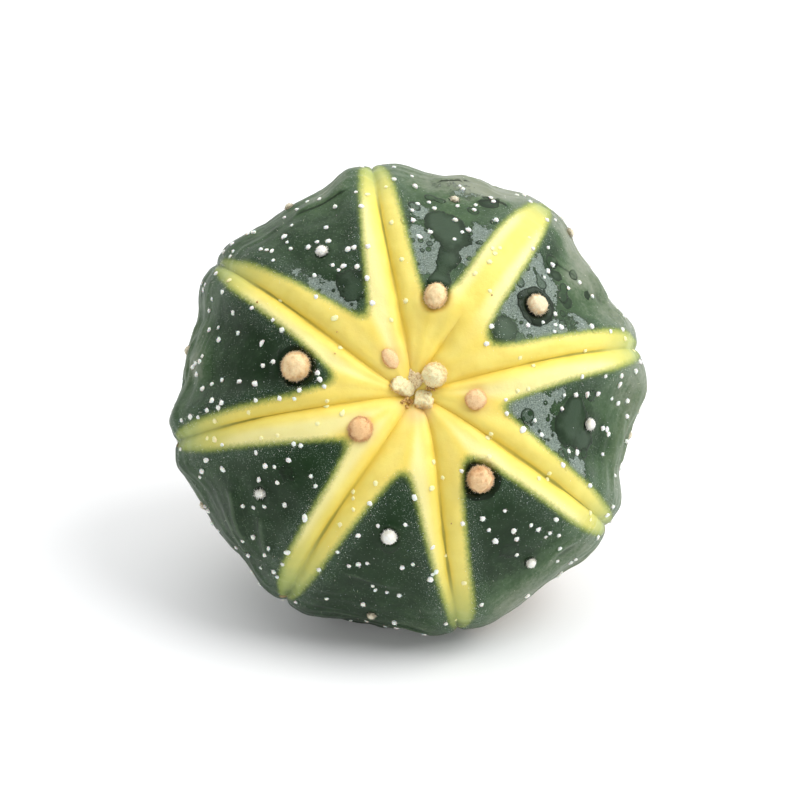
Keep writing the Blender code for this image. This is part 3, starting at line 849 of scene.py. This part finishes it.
def skin_material():
    s = Shader("cactus_skin", Roughness=0.4, Specular_IOR_Level=0.31, Specular_Tint=(0.84, 1.0, 0.80, 1),
               Subsurface_Weight=0.22, Subsurface_Scale=0.0014, Subsurface_Radius=(1.0, 0.9, 0.4))
    s.broad, s.middling, s.fine = s.noise(9, 3), s.noise(2.2, 3, offset=3), s.noise(0.45, 3, 0.6, offset=5)
    s.grain = s.noise(0.16, 2, 0.6, offset=7)
    green, dry, beads = frosted(s, misted(s, green_skin(s)))
    green, pool_field = pooled(s, green)
    green, drop_field = wetted(s, green)
    green = fold_shaded(s, green)
    cork, old, cracks = old_cork(s)
    border = s.wander(s.wander(s.attribute("green_mm"), s.fine, 0.6), s.grain, 0.5)
    s.set("Base Color", s.over(
        yellow_skin(s),
        (s.step(border, -0.75, 0.35), (138, 152, 74)),
        (s.step(border, -0.05, 0.6, 0.75), s.mix(0.5, green, (68, 92, 46))),
        (s.step(border, 0.15, 0.85), green),
        (s.step(old, 0, 4), cork),
    ))
    rough = s.step(border, -0.4, 0.6, 0.38, 0.40)
    s.set("Roughness", s.over(rough, (dry, 0.62), (s.step(old, -1, 4), 0.8), kind="FLOAT"))
    s.bump((s.step(pool_field, 0.40, 0.64), 0.06), (s.step(drop_field, 0.40, 0.66), 0.12),
           (s.times(beads, s.step(border, 0.3, 1)), 0.05), (s.times(cracks, s.step(old, 0, 6)), 0.25),
           (s.fine, 0.035), (s.grain, 0.016))
    return s.material


def wool_material(name, dark, light, speck, grain):
    s = Shader(name, Roughness=0.95, Specular_IOR_Level=0.1,
               Subsurface_Weight=0.22, Subsurface_Scale=0.0005, Subsurface_Radius=(1.0, 0.85, 0.6))
    clumps, fibre = s.noise(0.5, 3, 0.6), s.noise(0.2, 2, 0.6, offset=2)
    # the clumps' hollows, and the painted shade at the foot and at the hairs' roots, take the dark colour
    paleness = s.math("MULTIPLY_ADD", s.math("SUBTRACT", clumps, 0.35), 1.4, s.attribute("shade_to_light"))
    s.set("Base Color", s.over(dark, (s.step(paleness, 0, 0.7), light),
                               (s.step(fibre, 0.46, 0.70, grain), speck)))
    s.bump((clumps, 0.06), (fibre, 0.07 + 0.08 * grain))
    return s.material


def fleck_material():
    s = Shader("wool_flecks", Roughness=0.9, Subsurface_Weight=0.2, Subsurface_Scale=0.0005)
    fibre = s.noise(0.15, 2, 0.6)
    white = s.mix(s.step(fibre, 0.3, 0.7), (244, 243, 232), (255, 255, 252))
    on_yellow = s.mix(fibre, (253, 240, 162), (255, 250, 206))
    s.set("Base Color", s.mix(s.attribute("on_yellow"), white, on_yellow))
    s.bump((fibre, 0.06))
    return s.material


def scrap_material():
    s = Shader("crown_scraps", Roughness=0.95)
    s.set("Base Color", s.mix(s.step(s.noise(0.3), 0.35, 0.65), (156, 112, 54), (236, 196, 124)))
    s.bump((s.noise(0.12), 0.05))
    return s.material


def root_material():
    s = Shader("taproot_bark", Roughness=0.85)
    rings, patches = s.noise(0.8, 4, 0.65), s.noise(4, 3)
    s.set("Base Color", s.over((122, 88, 56), (s.step(patches, 0.3, 0.7), (176, 140, 98)),
                               (s.step(rings, 0.5, 0.75, 0.7), (78, 54, 34))))
    s.bump((rings, 0.25), (s.noise(0.25, offset=3), 0.08))
    return s.material


# --- Wool ---


def basis(normals):
    """Two directions across each normal."""
    helper = np.where(np.abs(normals[..., 2:3]) < 0.9, (0.0, 0.0, 1.0), (1.0, 0.0, 0.0))
    first = np.cross(helper, normals)
    first /= np.linalg.norm(first, axis=-1, keepdims=True)
    return first, np.cross(normals, first)


def turned_across(normals, angle):
    """Directions across each normal, at an angle to its first one."""
    first, second = basis(normals)
    return first * np.cos(angle)[:, None] + second * np.sin(angle)[:, None]


HAIR_FOOT, HAIR_END, HAIR_WAIST = 0.55, 0.45, 0.7  # lengths below and above a hair's bend, thickness there
HAIR_FACES = ((0, 1, 4, 3), (1, 2, 5, 4), (2, 0, 3, 5), (3, 4, 6), (4, 5, 6), (5, 3, 6))
HAIR_SHARES = (0.0, 0, 0, 0.5, 0.5, 0.5, 1)


def copies(faces, size, count):
    """The faces of many like shapes whose vertices follow each other."""
    return [tuple(i * size + j for j in face) for i in range(count) for face in faces]


def fibres(roots, directions, bends, lengths, thickness):
    """Tapering three-sided hairs, each bent once; returns vertices, faces and the share along each."""
    unit = directions / np.linalg.norm(directions, axis=-1, keepdims=True)
    first, second = basis(unit)
    middle = roots + unit * lengths[:, None] * HAIR_FOOT
    tips = middle + (unit + bends) * lengths[:, None] * HAIR_END
    rings = [centre + (first * math.cos(angle) + second * math.sin(angle)) * thickness * share
             for centre, share in ((roots, 1.0), (middle, HAIR_WAIST))
             for angle in (0, TAU / 3, 2 * TAU / 3)]
    vertices = np.stack([*rings, tips], axis=1)
    faces = copies(HAIR_FACES, len(HAIR_SHARES), len(roots))
    return vertices.reshape(-1, 3), faces, np.tile(HAIR_SHARES, len(roots))


def joined(parts):
    """Several (vertices, faces, values) as one."""
    vertices, faces, values, start = [], [], [], 0
    for part_vertices, part_faces, part_values in parts:
        vertices.append(part_vertices)
        faces += [tuple(i + start for i in face) for face in part_faces]
        values.append(part_values)
        start += len(part_vertices)
    return np.vstack(vertices), faces, np.concatenate(values)


def unit_ball(subdivisions):
    ball = bmesh.new()
    bmesh.ops.create_icosphere(ball, subdivisions=subdivisions, radius=1)
    points = np.array([v.co for v in ball.verts])
    faces = [tuple(v.index for v in face.verts) for face in ball.faces]
    ball.free()
    return points, faces


BALL_FINE, BALL_COARSE = unit_ball(4), unit_ball(3)
FINE_RADIUS = 0.7 * MM  # a larger tuft takes the fine ball
FULL_RADIUS = 1.5 * MM  # of a tuft with hairs of full length

# Each wool's colours in painted shade (its hollows, its foot and its hairs' roots), in painted light (its
# top and its hairs' tips), and in its specks, and how strong the specks are
WOOLS = {
    "tan": ((246, 202, 140), (254, 227, 178), (234, 180, 118), 0.4),
    "buff": ((251, 214, 158), (255, 240, 204), (240, 192, 132), 0.4),
    "cream": ((250, 210, 142), (255, 246, 198), (240, 192, 118), 0.6),
    "pink": ((230, 174, 120), (249, 213, 164), (218, 156, 102), 0.3),
    "rose": ((224, 166, 112), (245, 202, 150), (210, 148, 94), 0.3),
    "brown": ((238, 204, 146), (252, 232, 188), (190, 142, 84), 0.8),
    "white": ((255, 250, 232), (255, 255, 248), (244, 234, 208), 0.4),
    "grey": ((196, 184, 156), (236, 228, 204), (160, 144, 112), 0.5),
}
WOOL_KINDS = {
    "1_1": "cream", "2_1": "brown", "3_1": "pink", "4_1": "cream", "5_1": "rose", "7_1": "cream",
    "8_1": "pink", "1_2": "buff", "2_2": "tan", "4_2": "tan", "7_2": "pink",
    "6_1": "white", "3_2": "white", "8_2": "white", "5_2": "white", "7_3": "white",
}
# A tuft's length along its rib, its width and its height, as shares of its CAD radius; the turn of its
# length from the rib's, in degrees; how square it is; and how much of it stands up as hair
ROUND = (1.0, 1.0, 0.86, 0, 0.0, 1.0)
TUFT_SHAPES = {
    "1_1": (1, 0.98, 0.9, 0, 0, 0.7),
    "4_1": (1.38, 0.9, 0.72, 0, 0.4, 0.7),
    "7_1": (1.02, 1.05, 0.8, 20, 0.6, 0.7),
    "2_1": (1.55, 1.4, 0.7, 60, 0.3, 0.7),
    "3_1": (1.22, 0.82, 0.48, 10, 0, 0.15),
    "5_1": (1.1, 1.04, 0.76, 30, 0, 0.9),
    "8_1": (1.04, 0.98, 0.74, 0, 0, 0.35),
    "2_2": (1.12, 0.92, 0.9, 0, 0, 1),
    "7_2": (0.92, 0.9, 0.86, 0, 0, 1),
    "5_2": (0.85, 0.52, 0.5, -20, 0.2, 1.6),
}
CROWN_SINK = 0.15  # how much deeper the crown's tufts sit, as a share of the radius
FELT_LUMPS = ((0.7, 0.08), (0.32, 0.13), (0.16, 0.19))  # size and height, as shares of the radius
CRUMBLY = {"1_1": 0.6, "4_1": 0.75, "7_1": 0.7, "2_1": 0.8, "5_2": 0.9, "3_1": 0.3, "8_1": 0.35}  # how rough
SMOOTH_FELT = 0.42  # how rough the others are
# Locks and single hairs: how many a square mm, how thick, and how far they stray
COATS = ((30, 0.046 * MM, 0.5), (70, 0.022 * MM, 0.45))
LOWEST_HAIR, HAIR_ROOTS = -0.3, 0.92  # on a ball of radius 1: how high, and how far from its middle
HAIR_MM, FOOT_HAIR_MM = (0.14, 0.28), 0.30  # how long hairs are, and how much longer at a tuft's foot


def rib_axes(at, turn):
    """Directions out along a rib, across it, and up from it."""
    up = on_skin(at, turn, SKIN_NORMALS)
    up = up / np.linalg.norm(up)
    ahead = leaned(skin(at + 0.5 * MM, turn)) - leaned(skin(max(at - 0.5 * MM, 0), turn))
    ahead = ahead - (ahead @ up) * up
    ahead /= np.linalg.norm(ahead)
    return ahead, np.cross(up, ahead), up


def squared(ball, squareness):
    power = 2 + 6 * squareness
    return ball / ((np.abs(ball) ** power).sum(axis=1) ** (1 / power))[:, None]


def coat(kind, foot, size, turned, squareness, shaggy, radius, rng):
    """Hairs over a tuft: they lie down on its top and stand out round its foot."""
    a_square_mm, thickness, straying = kind
    way = rng.normal(size=(int(a_square_mm * 2 * TAU * (radius / MM) ** 2 * min(shaggy, 1)), 3))
    way /= np.linalg.norm(way, axis=1, keepdims=True)
    standing = 0.2 + 0.8 * smooth_step(0.75, 0.1, way[:, 2])
    way = way[(way[:, 2] > LOWEST_HAIR) & (rng.uniform(size=len(way)) < standing)]
    roots = foot + (squared(way, squareness) * HAIR_ROOTS * size) @ turned
    across = np.maximum(np.hypot(way[:, 0], way[:, 1]), 0.05)[:, None]
    downward = np.stack([way[:, 0] * way[:, 2], way[:, 1] * way[:, 2], -across[:, 0] ** 2], axis=1) / across
    at_foot = smooth_step(0.6, 0.0, way[:, 2:3])
    stray = rng.normal(size=way.shape)
    directions = way * (0.55 + 0.8 * at_foot) + downward * (0.45 - 0.4 * at_foot) + stray * straying
    bends = (rng.normal(size=way.shape) * 0.45) @ turned
    lengths = rng.uniform(*HAIR_MM, len(way))
    lengths = lengths + FOOT_HAIR_MM * at_foot[:, 0] * rng.uniform(0, 1, len(way)) ** 2
    lengths = lengths * MM * (0.55 + 0.45 * radius / FULL_RADIUS) * max(shaggy, 0.6)
    hairs, faces, shade_to_light = fibres(roots, directions @ turned, bends, lengths, thickness)
    # painted shade: each hair is darker towards its root
    return hairs, faces, np.maximum(shade_to_light, 0.4) * np.repeat(rng.uniform(0.3, 1.0, len(way)), len(HAIR_SHARES))


def make_tuft(label, at, turn, radius, material, rng):
    """A ball of felted wool, whose hairs lie down over it and stand out round its foot."""
    node = "areole_wool_" + label
    low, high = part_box(node)
    long, wide, high_share, angle, squareness, shaggy = TUFT_SHAPES.get(label, ROUND)
    ahead, beside, up = rib_axes(at, turn)
    spin = math.radians(angle)
    turned = np.stack([ahead * math.cos(spin) + beside * math.sin(spin),
                       beside * math.cos(spin) - ahead * math.sin(spin), up])
    size = np.array((long, wide, high_share)) * radius
    sink = (ROUND[2] - high_share) * 0.6 + (CROWN_SINK if at < CROWN_TO else 0)
    foot = np.array((low + high) / 2) + nudge(label) - up * sink * radius
    ball, faces = BALL_FINE if radius > FINE_RADIUS else BALL_COARSE
    seed = 100 + int(rng.integers(1000))
    lump = sum(lattice_noise(ball + 5 * i, span, seed + i) * height
               for i, (span, height) in enumerate(FELT_LUMPS))
    lump *= CRUMBLY.get(label, SMOOTH_FELT)
    core = foot + (squared(ball, squareness) * (0.95 + lump)[:, None] * size) @ turned
    # painted shade: the core is darker towards its foot and paler on top
    parts = [(core, faces, 0.02 + 0.5 * smooth_step(0.1, 0.9, ball[:, 2]))]
    parts += [coat(kind, foot, size, turned, squareness, shaggy, radius, rng) for kind in COATS]
    vertices, all_faces, shade_to_light = joined(parts)
    vertices[:, 2] = np.maximum(vertices[:, 2], 0)
    made = piece("wool_" + label, vertices, all_faces, material, {"shade_to_light": shade_to_light})
    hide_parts(node)


# --- Flecks ---

FLECK_RINGS = ((0.98, -0.35), (1.0, 0.35), (0.74, 0.80))  # share of the radius, share of the height
FLECK_SIDES = 8
# How flecks, specks and fine hairs are scattered: how many a square mm at most, and mm apart
FLECKS, SPECKS, DOWN = (0.24, 1.25), (2.4, 0.16), (1.4, 0.12)
FLECKS_ABOVE, SPECKS_ABOVE, DOWN_ABOVE = 1.2 * MM, 0.3 * MM, 0.5 * MM  # how high the lowest stand
FLECK_RADII, SPECK_RADII, DOWN_LENGTHS = (0.25, 0.40), (0.018, 0.05), (0.2, 0.5)  # mm
SPECK_FLATNESS, DOWN_THICKNESS = 0.6, 0.013 * MM
TWIN_SHARE, TWIN_APART = 0.12, 0.8 * MM  # how many flecks have a twin, and how far off it is
LONG_SHARE, LONG_STRETCH = 0.15, (1.2, 1.6)  # how many flecks are drawn out, and how far
IN_YELLOW = -0.6  # mm into the green, below which a fleck is yellow and low
LOW_SHARE, LOW_FROM, LOW_TO = 0.35, 2 * MM, 14 * MM  # how many flecks stay lowest down, and how high all do
FLECK_HAIRS, FLECK_HAIR_THICKNESS = 7, 0.022 * MM
ROWS_CLEAR = 1.7 * MM  # from a row of flecks to the scattered ones


def fleck_faces():
    """The faces of one fleck: bands between its rings, and a cap up to its top."""
    following = [(side + 1) % FLECK_SIDES for side in range(FLECK_SIDES)]
    starts = range(0, len(FLECK_RINGS) * FLECK_SIDES, FLECK_SIDES)
    bands = [(ring + a, ring + b, ring + b + FLECK_SIDES, ring + a + FLECK_SIDES)
             for ring in starts[:-1] for a, b in enumerate(following)]
    top = starts[-1]
    return bands + [(top + a, top + b, top + FLECK_SIDES) for a, b in enumerate(following)]


def fleck_shapes(points, normals, radii, heights, stretches, rng):
    """Low irregular cushions of matted hair: vertices, faces and how many vertices each has."""
    count = len(points)
    ahead = turned_across(normals, rng.uniform(0, TAU, count))
    beside = np.cross(normals, ahead)
    outline = rng.uniform(0.74, 1.16, (count, FLECK_SIDES))
    rows = []
    for share, lift in FLECK_RINGS:
        for side in range(FLECK_SIDES):
            angle = side / FLECK_SIDES * TAU
            reach = radii * share * outline[:, side] * rng.uniform(0.92, 1.08, count)
            rise = heights * lift * rng.uniform(0.8, 1.2, count)
            rows.append(points + ahead * (reach * stretches * math.cos(angle))[:, None]
                        + beside * (reach * math.sin(angle))[:, None] + normals * rise[:, None])
    rows.append(points + normals * (heights * rng.uniform(0.7, 1.0, count))[:, None])
    return np.stack(rows, axis=1).reshape(-1, 3), copies(fleck_faces(), len(rows), count), len(rows)


def fleck_wish(length, turn):
    """How many flecks a square mm the skin wants here."""
    green, length_mm = green_at(length, turn), length / MM
    wish = np.where(green > 0, 0.072, 0.055) + 0.06 * bell(green - 0.2, 0.9)
    wish = wish * smooth_step(4, 15, length_mm) * (0.4 + 0.6 * smooth_step(48, 36, length_mm))
    return wish * smooth_step(78, 60, length_mm) * (on_skin(length, turn, SKIN_VALUES["tuft_mm"]) > 0.7)


def speck_wish(length, turn):
    """How many of the finest flecks it wants: most along the star's border."""
    green = green_at(length, turn)
    there = 0.12 * (green > -0.3) + 2.0 * bell(green - 0.7, 1.1)
    return there * smooth_step(8, 13, length / MM) * smooth_step(60, 40, length / MM)


def down_wish(length, turn):
    """How many fine hairs it wants, along the star's border and on the flanks."""
    green = green_at(length, turn)
    beside = bell(green - 0.4, 0.8) * (0.3 + 0.7 * smooth_step(2.2, 3.2, turn))
    flank = 0.10 * (green > 0) * smooth_step(26, 34, length / MM)
    return (1.3 * beside + flank) * smooth_step(9, 14, length / MM) * smooth_step(70, 55, length / MM)


def scatter(wish, a_square_mm, apart_mm, rng):
    """Places on the skin, thrown one by one and kept where they are wished for and apart."""
    out = np.abs(np.interp(ROW_LENGTHS, LENGTHS, CURVE[:, 0]))
    weight = np.concatenate([[0], np.cumsum((out[1:] + out[:-1]) / 2 * np.diff(ROW_LENGTHS))])
    tries = int(weight[-1] * TAU / MM**2 * a_square_mm)
    lengths = np.interp(rng.uniform(0, weight[-1], tries), weight, ROW_LENGTHS)
    turns = rng.uniform(0, RIBS, tries)
    keep = rng.uniform(0, a_square_mm, tries) < wish(lengths, turns)
    lengths, turns = lengths[keep], turns[keep]
    points = on_skin(lengths, turns, SKIN_POINTS)
    chosen = []
    for i, point in enumerate(points):
        if not chosen or np.linalg.norm(points[chosen] - point, axis=1).min() > apart_mm * MM:
            chosen.append(i)
    return lengths[chosen], turns[chosen]


def row_places():
    """The flecks that stand in rows."""
    rows = [(turn + i * turn_step, mm + i * mm_step)
            for (turn, mm), (turn_step, mm_step), count in FLECK_ROWS for i in range(count)]
    turns, lengths_mm = np.array(rows).T
    return lengths_mm * MM, turns


def fleck_places(rng):
    """Scattered flecks, some with a twin, and those in rows."""
    lengths, turns = scatter(fleck_wish, *FLECKS, rng)
    twins = rng.uniform(size=len(lengths)) < TWIN_SHARE
    along = rng.uniform(-1, 1, twins.sum())
    twin_lengths = lengths[twins] + along * TWIN_APART
    out = np.interp(twin_lengths, LENGTHS, CURVE[:, 0])
    side = np.where(rng.uniform(size=twins.sum()) < 0.5, -1, 1) * np.sqrt(1 - along**2 * 0.8)
    twin_turns = turns[twins] + side * TWIN_APART / (out * TAU / RIBS)
    lengths, turns = np.append(lengths, twin_lengths), np.append(turns, twin_turns)
    row_lengths, row_turns = row_places()
    rows, scattered = on_skin(row_lengths, row_turns, SKIN_POINTS), on_skin(lengths, turns, SKIN_POINTS)
    lone = np.linalg.norm(scattered[:, None] - rows, axis=-1).min(axis=1) > ROWS_CLEAR
    high = smooth_step(LOW_FROM, LOW_TO, scattered[:, 2])
    lone &= rng.uniform(size=len(lengths)) < LOW_SHARE + (1 - LOW_SHARE) * high
    lengths, turns = np.append(lengths[lone], row_lengths), np.append(turns[lone], row_turns)
    above = on_skin(lengths, turns, SKIN_POINTS)[:, 2] > FLECKS_ABOVE
    return lengths[above], turns[above]


def make_flecks(material):
    rng = np.random.default_rng(11)
    lengths, turns = fleck_places(rng)
    points, normals = rooted(lengths, turns)
    count = len(points)
    radii = rng.uniform(*FLECK_RADII, count) * MM
    stretches = np.where(rng.uniform(size=count) < LONG_SHARE, rng.uniform(*LONG_STRETCH, count), 1.0)
    yellow = (green_at(lengths, turns) < IN_YELLOW).astype(float)
    heights = radii * rng.uniform(0.55, 0.9, count) * (1 - 0.4 * yellow)
    vertices, faces, size = fleck_shapes(points, normals, radii, heights, stretches, rng)
    each = np.repeat(np.arange(count), FLECK_HAIRS)
    sideways = turned_across(normals[each], rng.uniform(0, TAU, len(each)))
    roots = points[each] + sideways * radii[each, None] * 0.75 + normals[each] * heights[each, None] * 0.4
    directions = sideways + normals[each] * rng.uniform(0.0, 0.8, (len(each), 1))
    bends = rng.normal(size=directions.shape) * 0.35
    hair_lengths = radii[each] * rng.uniform(0.4, 0.9, len(each))
    hairs, hair_faces, _ = fibres(roots, directions, bends, hair_lengths, FLECK_HAIR_THICKNESS)
    vertices, faces, on_yellow = joined([(vertices, faces, np.repeat(yellow, size)),
                                         (hairs, hair_faces, np.repeat(yellow[each], len(HAIR_SHARES)))])
    piece("wool_flecks", vertices, faces, material, {"on_yellow": on_yellow})


def make_specks(material):
    rng = np.random.default_rng(12)
    points, normals = rooted(*scatter(speck_wish, *SPECKS, rng), SPECKS_ABOVE)
    ball, faces = unit_ball(1)
    radii = rng.uniform(*SPECK_RADII, len(points)) * MM
    turned = np.stack([*basis(normals), normals], axis=1)
    spread = np.einsum("vk,nkx->nvx", ball * (1, 1, SPECK_FLATNESS), turned) * radii[:, None, None]
    vertices = (points[:, None] + spread).reshape(-1, 3)
    all_faces = copies(faces, len(ball), len(points))
    piece("wool_specks", vertices, all_faces, material, {"on_yellow": np.zeros(len(vertices))})


def make_down(material):
    rng = np.random.default_rng(13)
    points, normals = rooted(*scatter(down_wish, *DOWN, rng), DOWN_ABOVE)
    directions = rng.normal(size=points.shape) * 0.6 + normals * 0.45
    bends = rng.normal(size=points.shape) * 0.5
    lengths = rng.uniform(*DOWN_LENGTHS, len(points)) * MM
    hairs, faces, _ = fibres(points, directions, bends, lengths, DOWN_THICKNESS)
    hairs[:, 2] = np.maximum(hairs[:, 2], 0)
    piece("wool_down", hairs, faces, material, {"on_yellow": np.full(len(hairs), 0.3)})


# --- The crown's crumbs and the root ---

CRUMB_HEAPS = ((8.0, 2.4), (4.8, 0.8), (2.5, 0.6))  # (turn, mm along)
CRUMBS_A_HEAP = 8
CRUMB_RADII, CRUMB_HEIGHT = (0.12, 0.28), 1.4  # mm, and a share of the radius
HEAP_LENGTH, HEAP_WIDTH = 0.22, 0.28  # how far crumbs stray: mm along, and turns
# Single dark specks in the yellow: (turn, mm along)
SCABS = ((3.10, 24.2), (3.16, 11.2), (6.08, 18.8), (0.86, 16.5), (2.9, 12.5))
SCAB_RADIUS = 0.11 * MM
ROOT_VOXEL = 0.45 * MM
ROOT_RINGS, RING_SIZE = 0.28, 1.6 * MM  # mm high, and how far apart
RING_SQUEEZE = (0.5, 1.5, 1)  # how much closer they are along each axis
ROOT_BUMPS = ((0.35, 4, 52), (0.10, 0.7, 53))  # mm high, mm long, seed
ROOTLETS, ROOTLET_THICKNESS, ROOTLET_ROOM = 46, 0.09 * MM, 2.0 * MM
ROOTLET_LENGTHS, ROOTLET_DROOP = (1.2, 3.0), (0, 0, -0.7)  # mm, and how their ends hang


def make_crumbs(material):
    """Brown scraps of old wool between the crown's tufts, and the scabs."""
    rng = np.random.default_rng(14)
    heaps = np.repeat(CRUMB_HEAPS, CRUMBS_A_HEAP, axis=0)
    lengths = np.abs(heaps[:, 1] + rng.normal(0, HEAP_LENGTH, len(heaps))) * MM
    turns = heaps[:, 0] + rng.normal(0, HEAP_WIDTH, len(heaps))
    radii = np.append(rng.uniform(*CRUMB_RADII, len(heaps)) * MM, [SCAB_RADIUS] * len(SCABS))
    scab_turns, scab_mm = np.array(SCABS).T
    points, normals = rooted(np.append(lengths, scab_mm * MM), np.append(turns, scab_turns))
    points = points + normals * (radii * 0.3)[:, None]
    stretches = rng.uniform(0.8, 1.8, len(points))
    vertices, faces, _ = fleck_shapes(points, normals, radii, radii * CRUMB_HEIGHT, stretches, rng)
    piece("crown_scraps", vertices, faces, material)


def root_mesh():
    """The CAD root's mesh, in even small steps and without its edges."""
    made = placed("taproot_bark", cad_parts["taproot"].data.copy())
    remesh = made.modifiers.new("remesh", "REMESH")
    remesh.mode, remesh.voxel_size = "VOXEL", ROOT_VOXEL
    smooth = made.modifiers.new("smooth", "CORRECTIVE_SMOOTH")
    smooth.iterations, smooth.use_only_smooth = 8, True
    mesh = bpy.data.meshes.new_from_object(made.evaluated_get(bpy.context.evaluated_depsgraph_get()))
    bpy.data.objects.remove(made)
    return mesh


def make_root(material):
    mesh = root_mesh()
    points = np.array([v.co for v in mesh.vertices])
    normals = np.array([v.normal for v in mesh.vertices])
    rise = ROOT_RINGS * ridges(points * RING_SQUEEZE, RING_SIZE, 51)
    for height_mm, size_mm, seed in ROOT_BUMPS:
        rise = rise + height_mm * lattice_noise(points, size_mm * MM, seed)
    points = points + normals * (rise * MM)[:, None]
    faces = [tuple(p.vertices) for p in mesh.polygons]
    rng = np.random.default_rng(15)
    low, high = (np.array(corner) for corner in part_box("taproot"))
    within = ((points > low + ROOTLET_ROOM) & (points < high - ROOTLET_ROOM))[:, :2].all(axis=1)
    starts = rng.choice(np.flatnonzero(within & (points[:, 2] > ROOTLET_ROOM)), ROOTLETS, replace=False)
    directions = normals[starts] + rng.normal(size=(ROOTLETS, 3)) * 0.35
    bends = rng.normal(size=(ROOTLETS, 3)) * 0.5 + ROOTLET_DROOP
    reaches = rng.uniform(*ROOTLET_LENGTHS, ROOTLETS) * MM
    rootlets, rootlet_faces, tips = fibres(points[starts], directions, bends, reaches, ROOTLET_THICKNESS)
    points, faces, _ = joined([(points, faces, np.zeros(len(points))), (rootlets, rootlet_faces, tips)])
    points[:, 2] = np.maximum(points[:, 2], 0)
    bark = piece("taproot_bark", points, faces, material)
    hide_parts("taproot")


# --- The studio ---

AIR_LIGHT = (0.25, 1.0)  # before the plant, and behind it
AIR_TURNS = (-0.65, 0.5)  # between which directions along Y it changes
FLOOR_HALF = 3.0
# Each light's place, its diameter and its watts
LIGHTS = {"key": ((0.52, -0.16, 0.62), 0.62, 5.1), "overhead": ((-0.05, 0.05, 0.90), 0.9, 2.7)}
CAMERA_ELEVATION = math.radians(27)
CAMERA_DISTANCE = 257 * MM
CAMERA_LENS, CAMERA_SENSOR, CAMERA_CLIP = 85, 36, 0.01
AIM_LEFT, AIM_DOWN = 1.09 * MM, 0.49 * MM  # from the middle of the plant's rim


def make_floor():
    s = Shader("studio_floor", Roughness=0.9, Specular_IOR_Level=0.1, Emission_Strength=0.10)
    s.set("Emission Color", (255, 255, 255))
    s.set("Base Color", s.mix(s.noise(60), (240, 241, 242), (243, 244, 245)))
    mesh = bpy.data.meshes.new("studio_floor")
    corners = [(x * FLOOR_HALF, y * FLOOR_HALF, 0) for x, y in ((-1, -1), (1, -1), (1, 1), (-1, 1))]
    mesh.from_pydata(corners, [], [(0, 1, 2, 3)])
    mesh.materials.append(s.material)
    floor = placed("studio_floor", mesh)


def soft_light(name, place, size, watts):
    data = bpy.data.lights.new(name, "AREA")
    data.shape, data.size, data.energy = "DISK", size, watts
    light = placed(name, data)
    light.location = place
    light.rotation_euler = (RING_CENTRE - Vector(place)).to_track_quat("-Z", "Y").to_euler()


def make_air():
    """White walls and a white sweep behind the plant, and a dim room before it."""
    world = bpy.data.worlds.new("studio_air")
    world.use_nodes = True
    tree = world.node_tree
    direction = add_node(tree, "TexCoord", {}).outputs["Generated"]
    parts = add_node(tree, "SeparateXYZ", {0: direction})
    sockets = tree.nodes["Background"].inputs
    put(sockets["Strength"], map_range(tree, parts.outputs["Y"], *AIR_TURNS, *AIR_LIGHT))
    put(sockets["Color"], (255, 255, 255))
    bpy.context.scene.world = world


def make_camera():
    forward = Vector((0, math.cos(CAMERA_ELEVATION), -math.sin(CAMERA_ELEVATION)))
    up = Vector((0, math.sin(CAMERA_ELEVATION), math.cos(CAMERA_ELEVATION)))
    aim = RING_CENTRE - Vector((AIM_LEFT, 0, 0)) - up * AIM_DOWN
    data = bpy.data.cameras.new("camera")
    data.lens, data.sensor_width, data.clip_start = CAMERA_LENS, CAMERA_SENSOR, CAMERA_CLIP
    camera = placed("camera", data)
    camera.location = aim - forward * CAMERA_DISTANCE
    camera.rotation_euler = forward.to_track_quat("-Z", "Y").to_euler()
    bpy.context.scene.camera = camera


make_skin(skin_material())
wool_rng = np.random.default_rng(5)
wools = {kind: wool_material("wool_" + kind, *colours) for kind, colours in WOOLS.items()}
for tuft_label, tuft_at, tuft_turn, tuft_radius in tuft_places():
    wool = wools[WOOL_KINDS.get(tuft_label, "grey")]
    make_tuft(tuft_label, tuft_at, tuft_turn, tuft_radius, wool, wool_rng)
fleck_wool = fleck_material()
make_flecks(fleck_wool)
make_specks(fleck_wool)
make_down(fleck_wool)
make_crumbs(scrap_material())
make_root(root_material())
make_floor()
make_air()
for light_name, light_values in LIGHTS.items():
    soft_light(light_name, *light_values)
make_camera()
bpy.context.scene.view_settings.view_transform = "Standard"

bpy.context.view_layer.update()
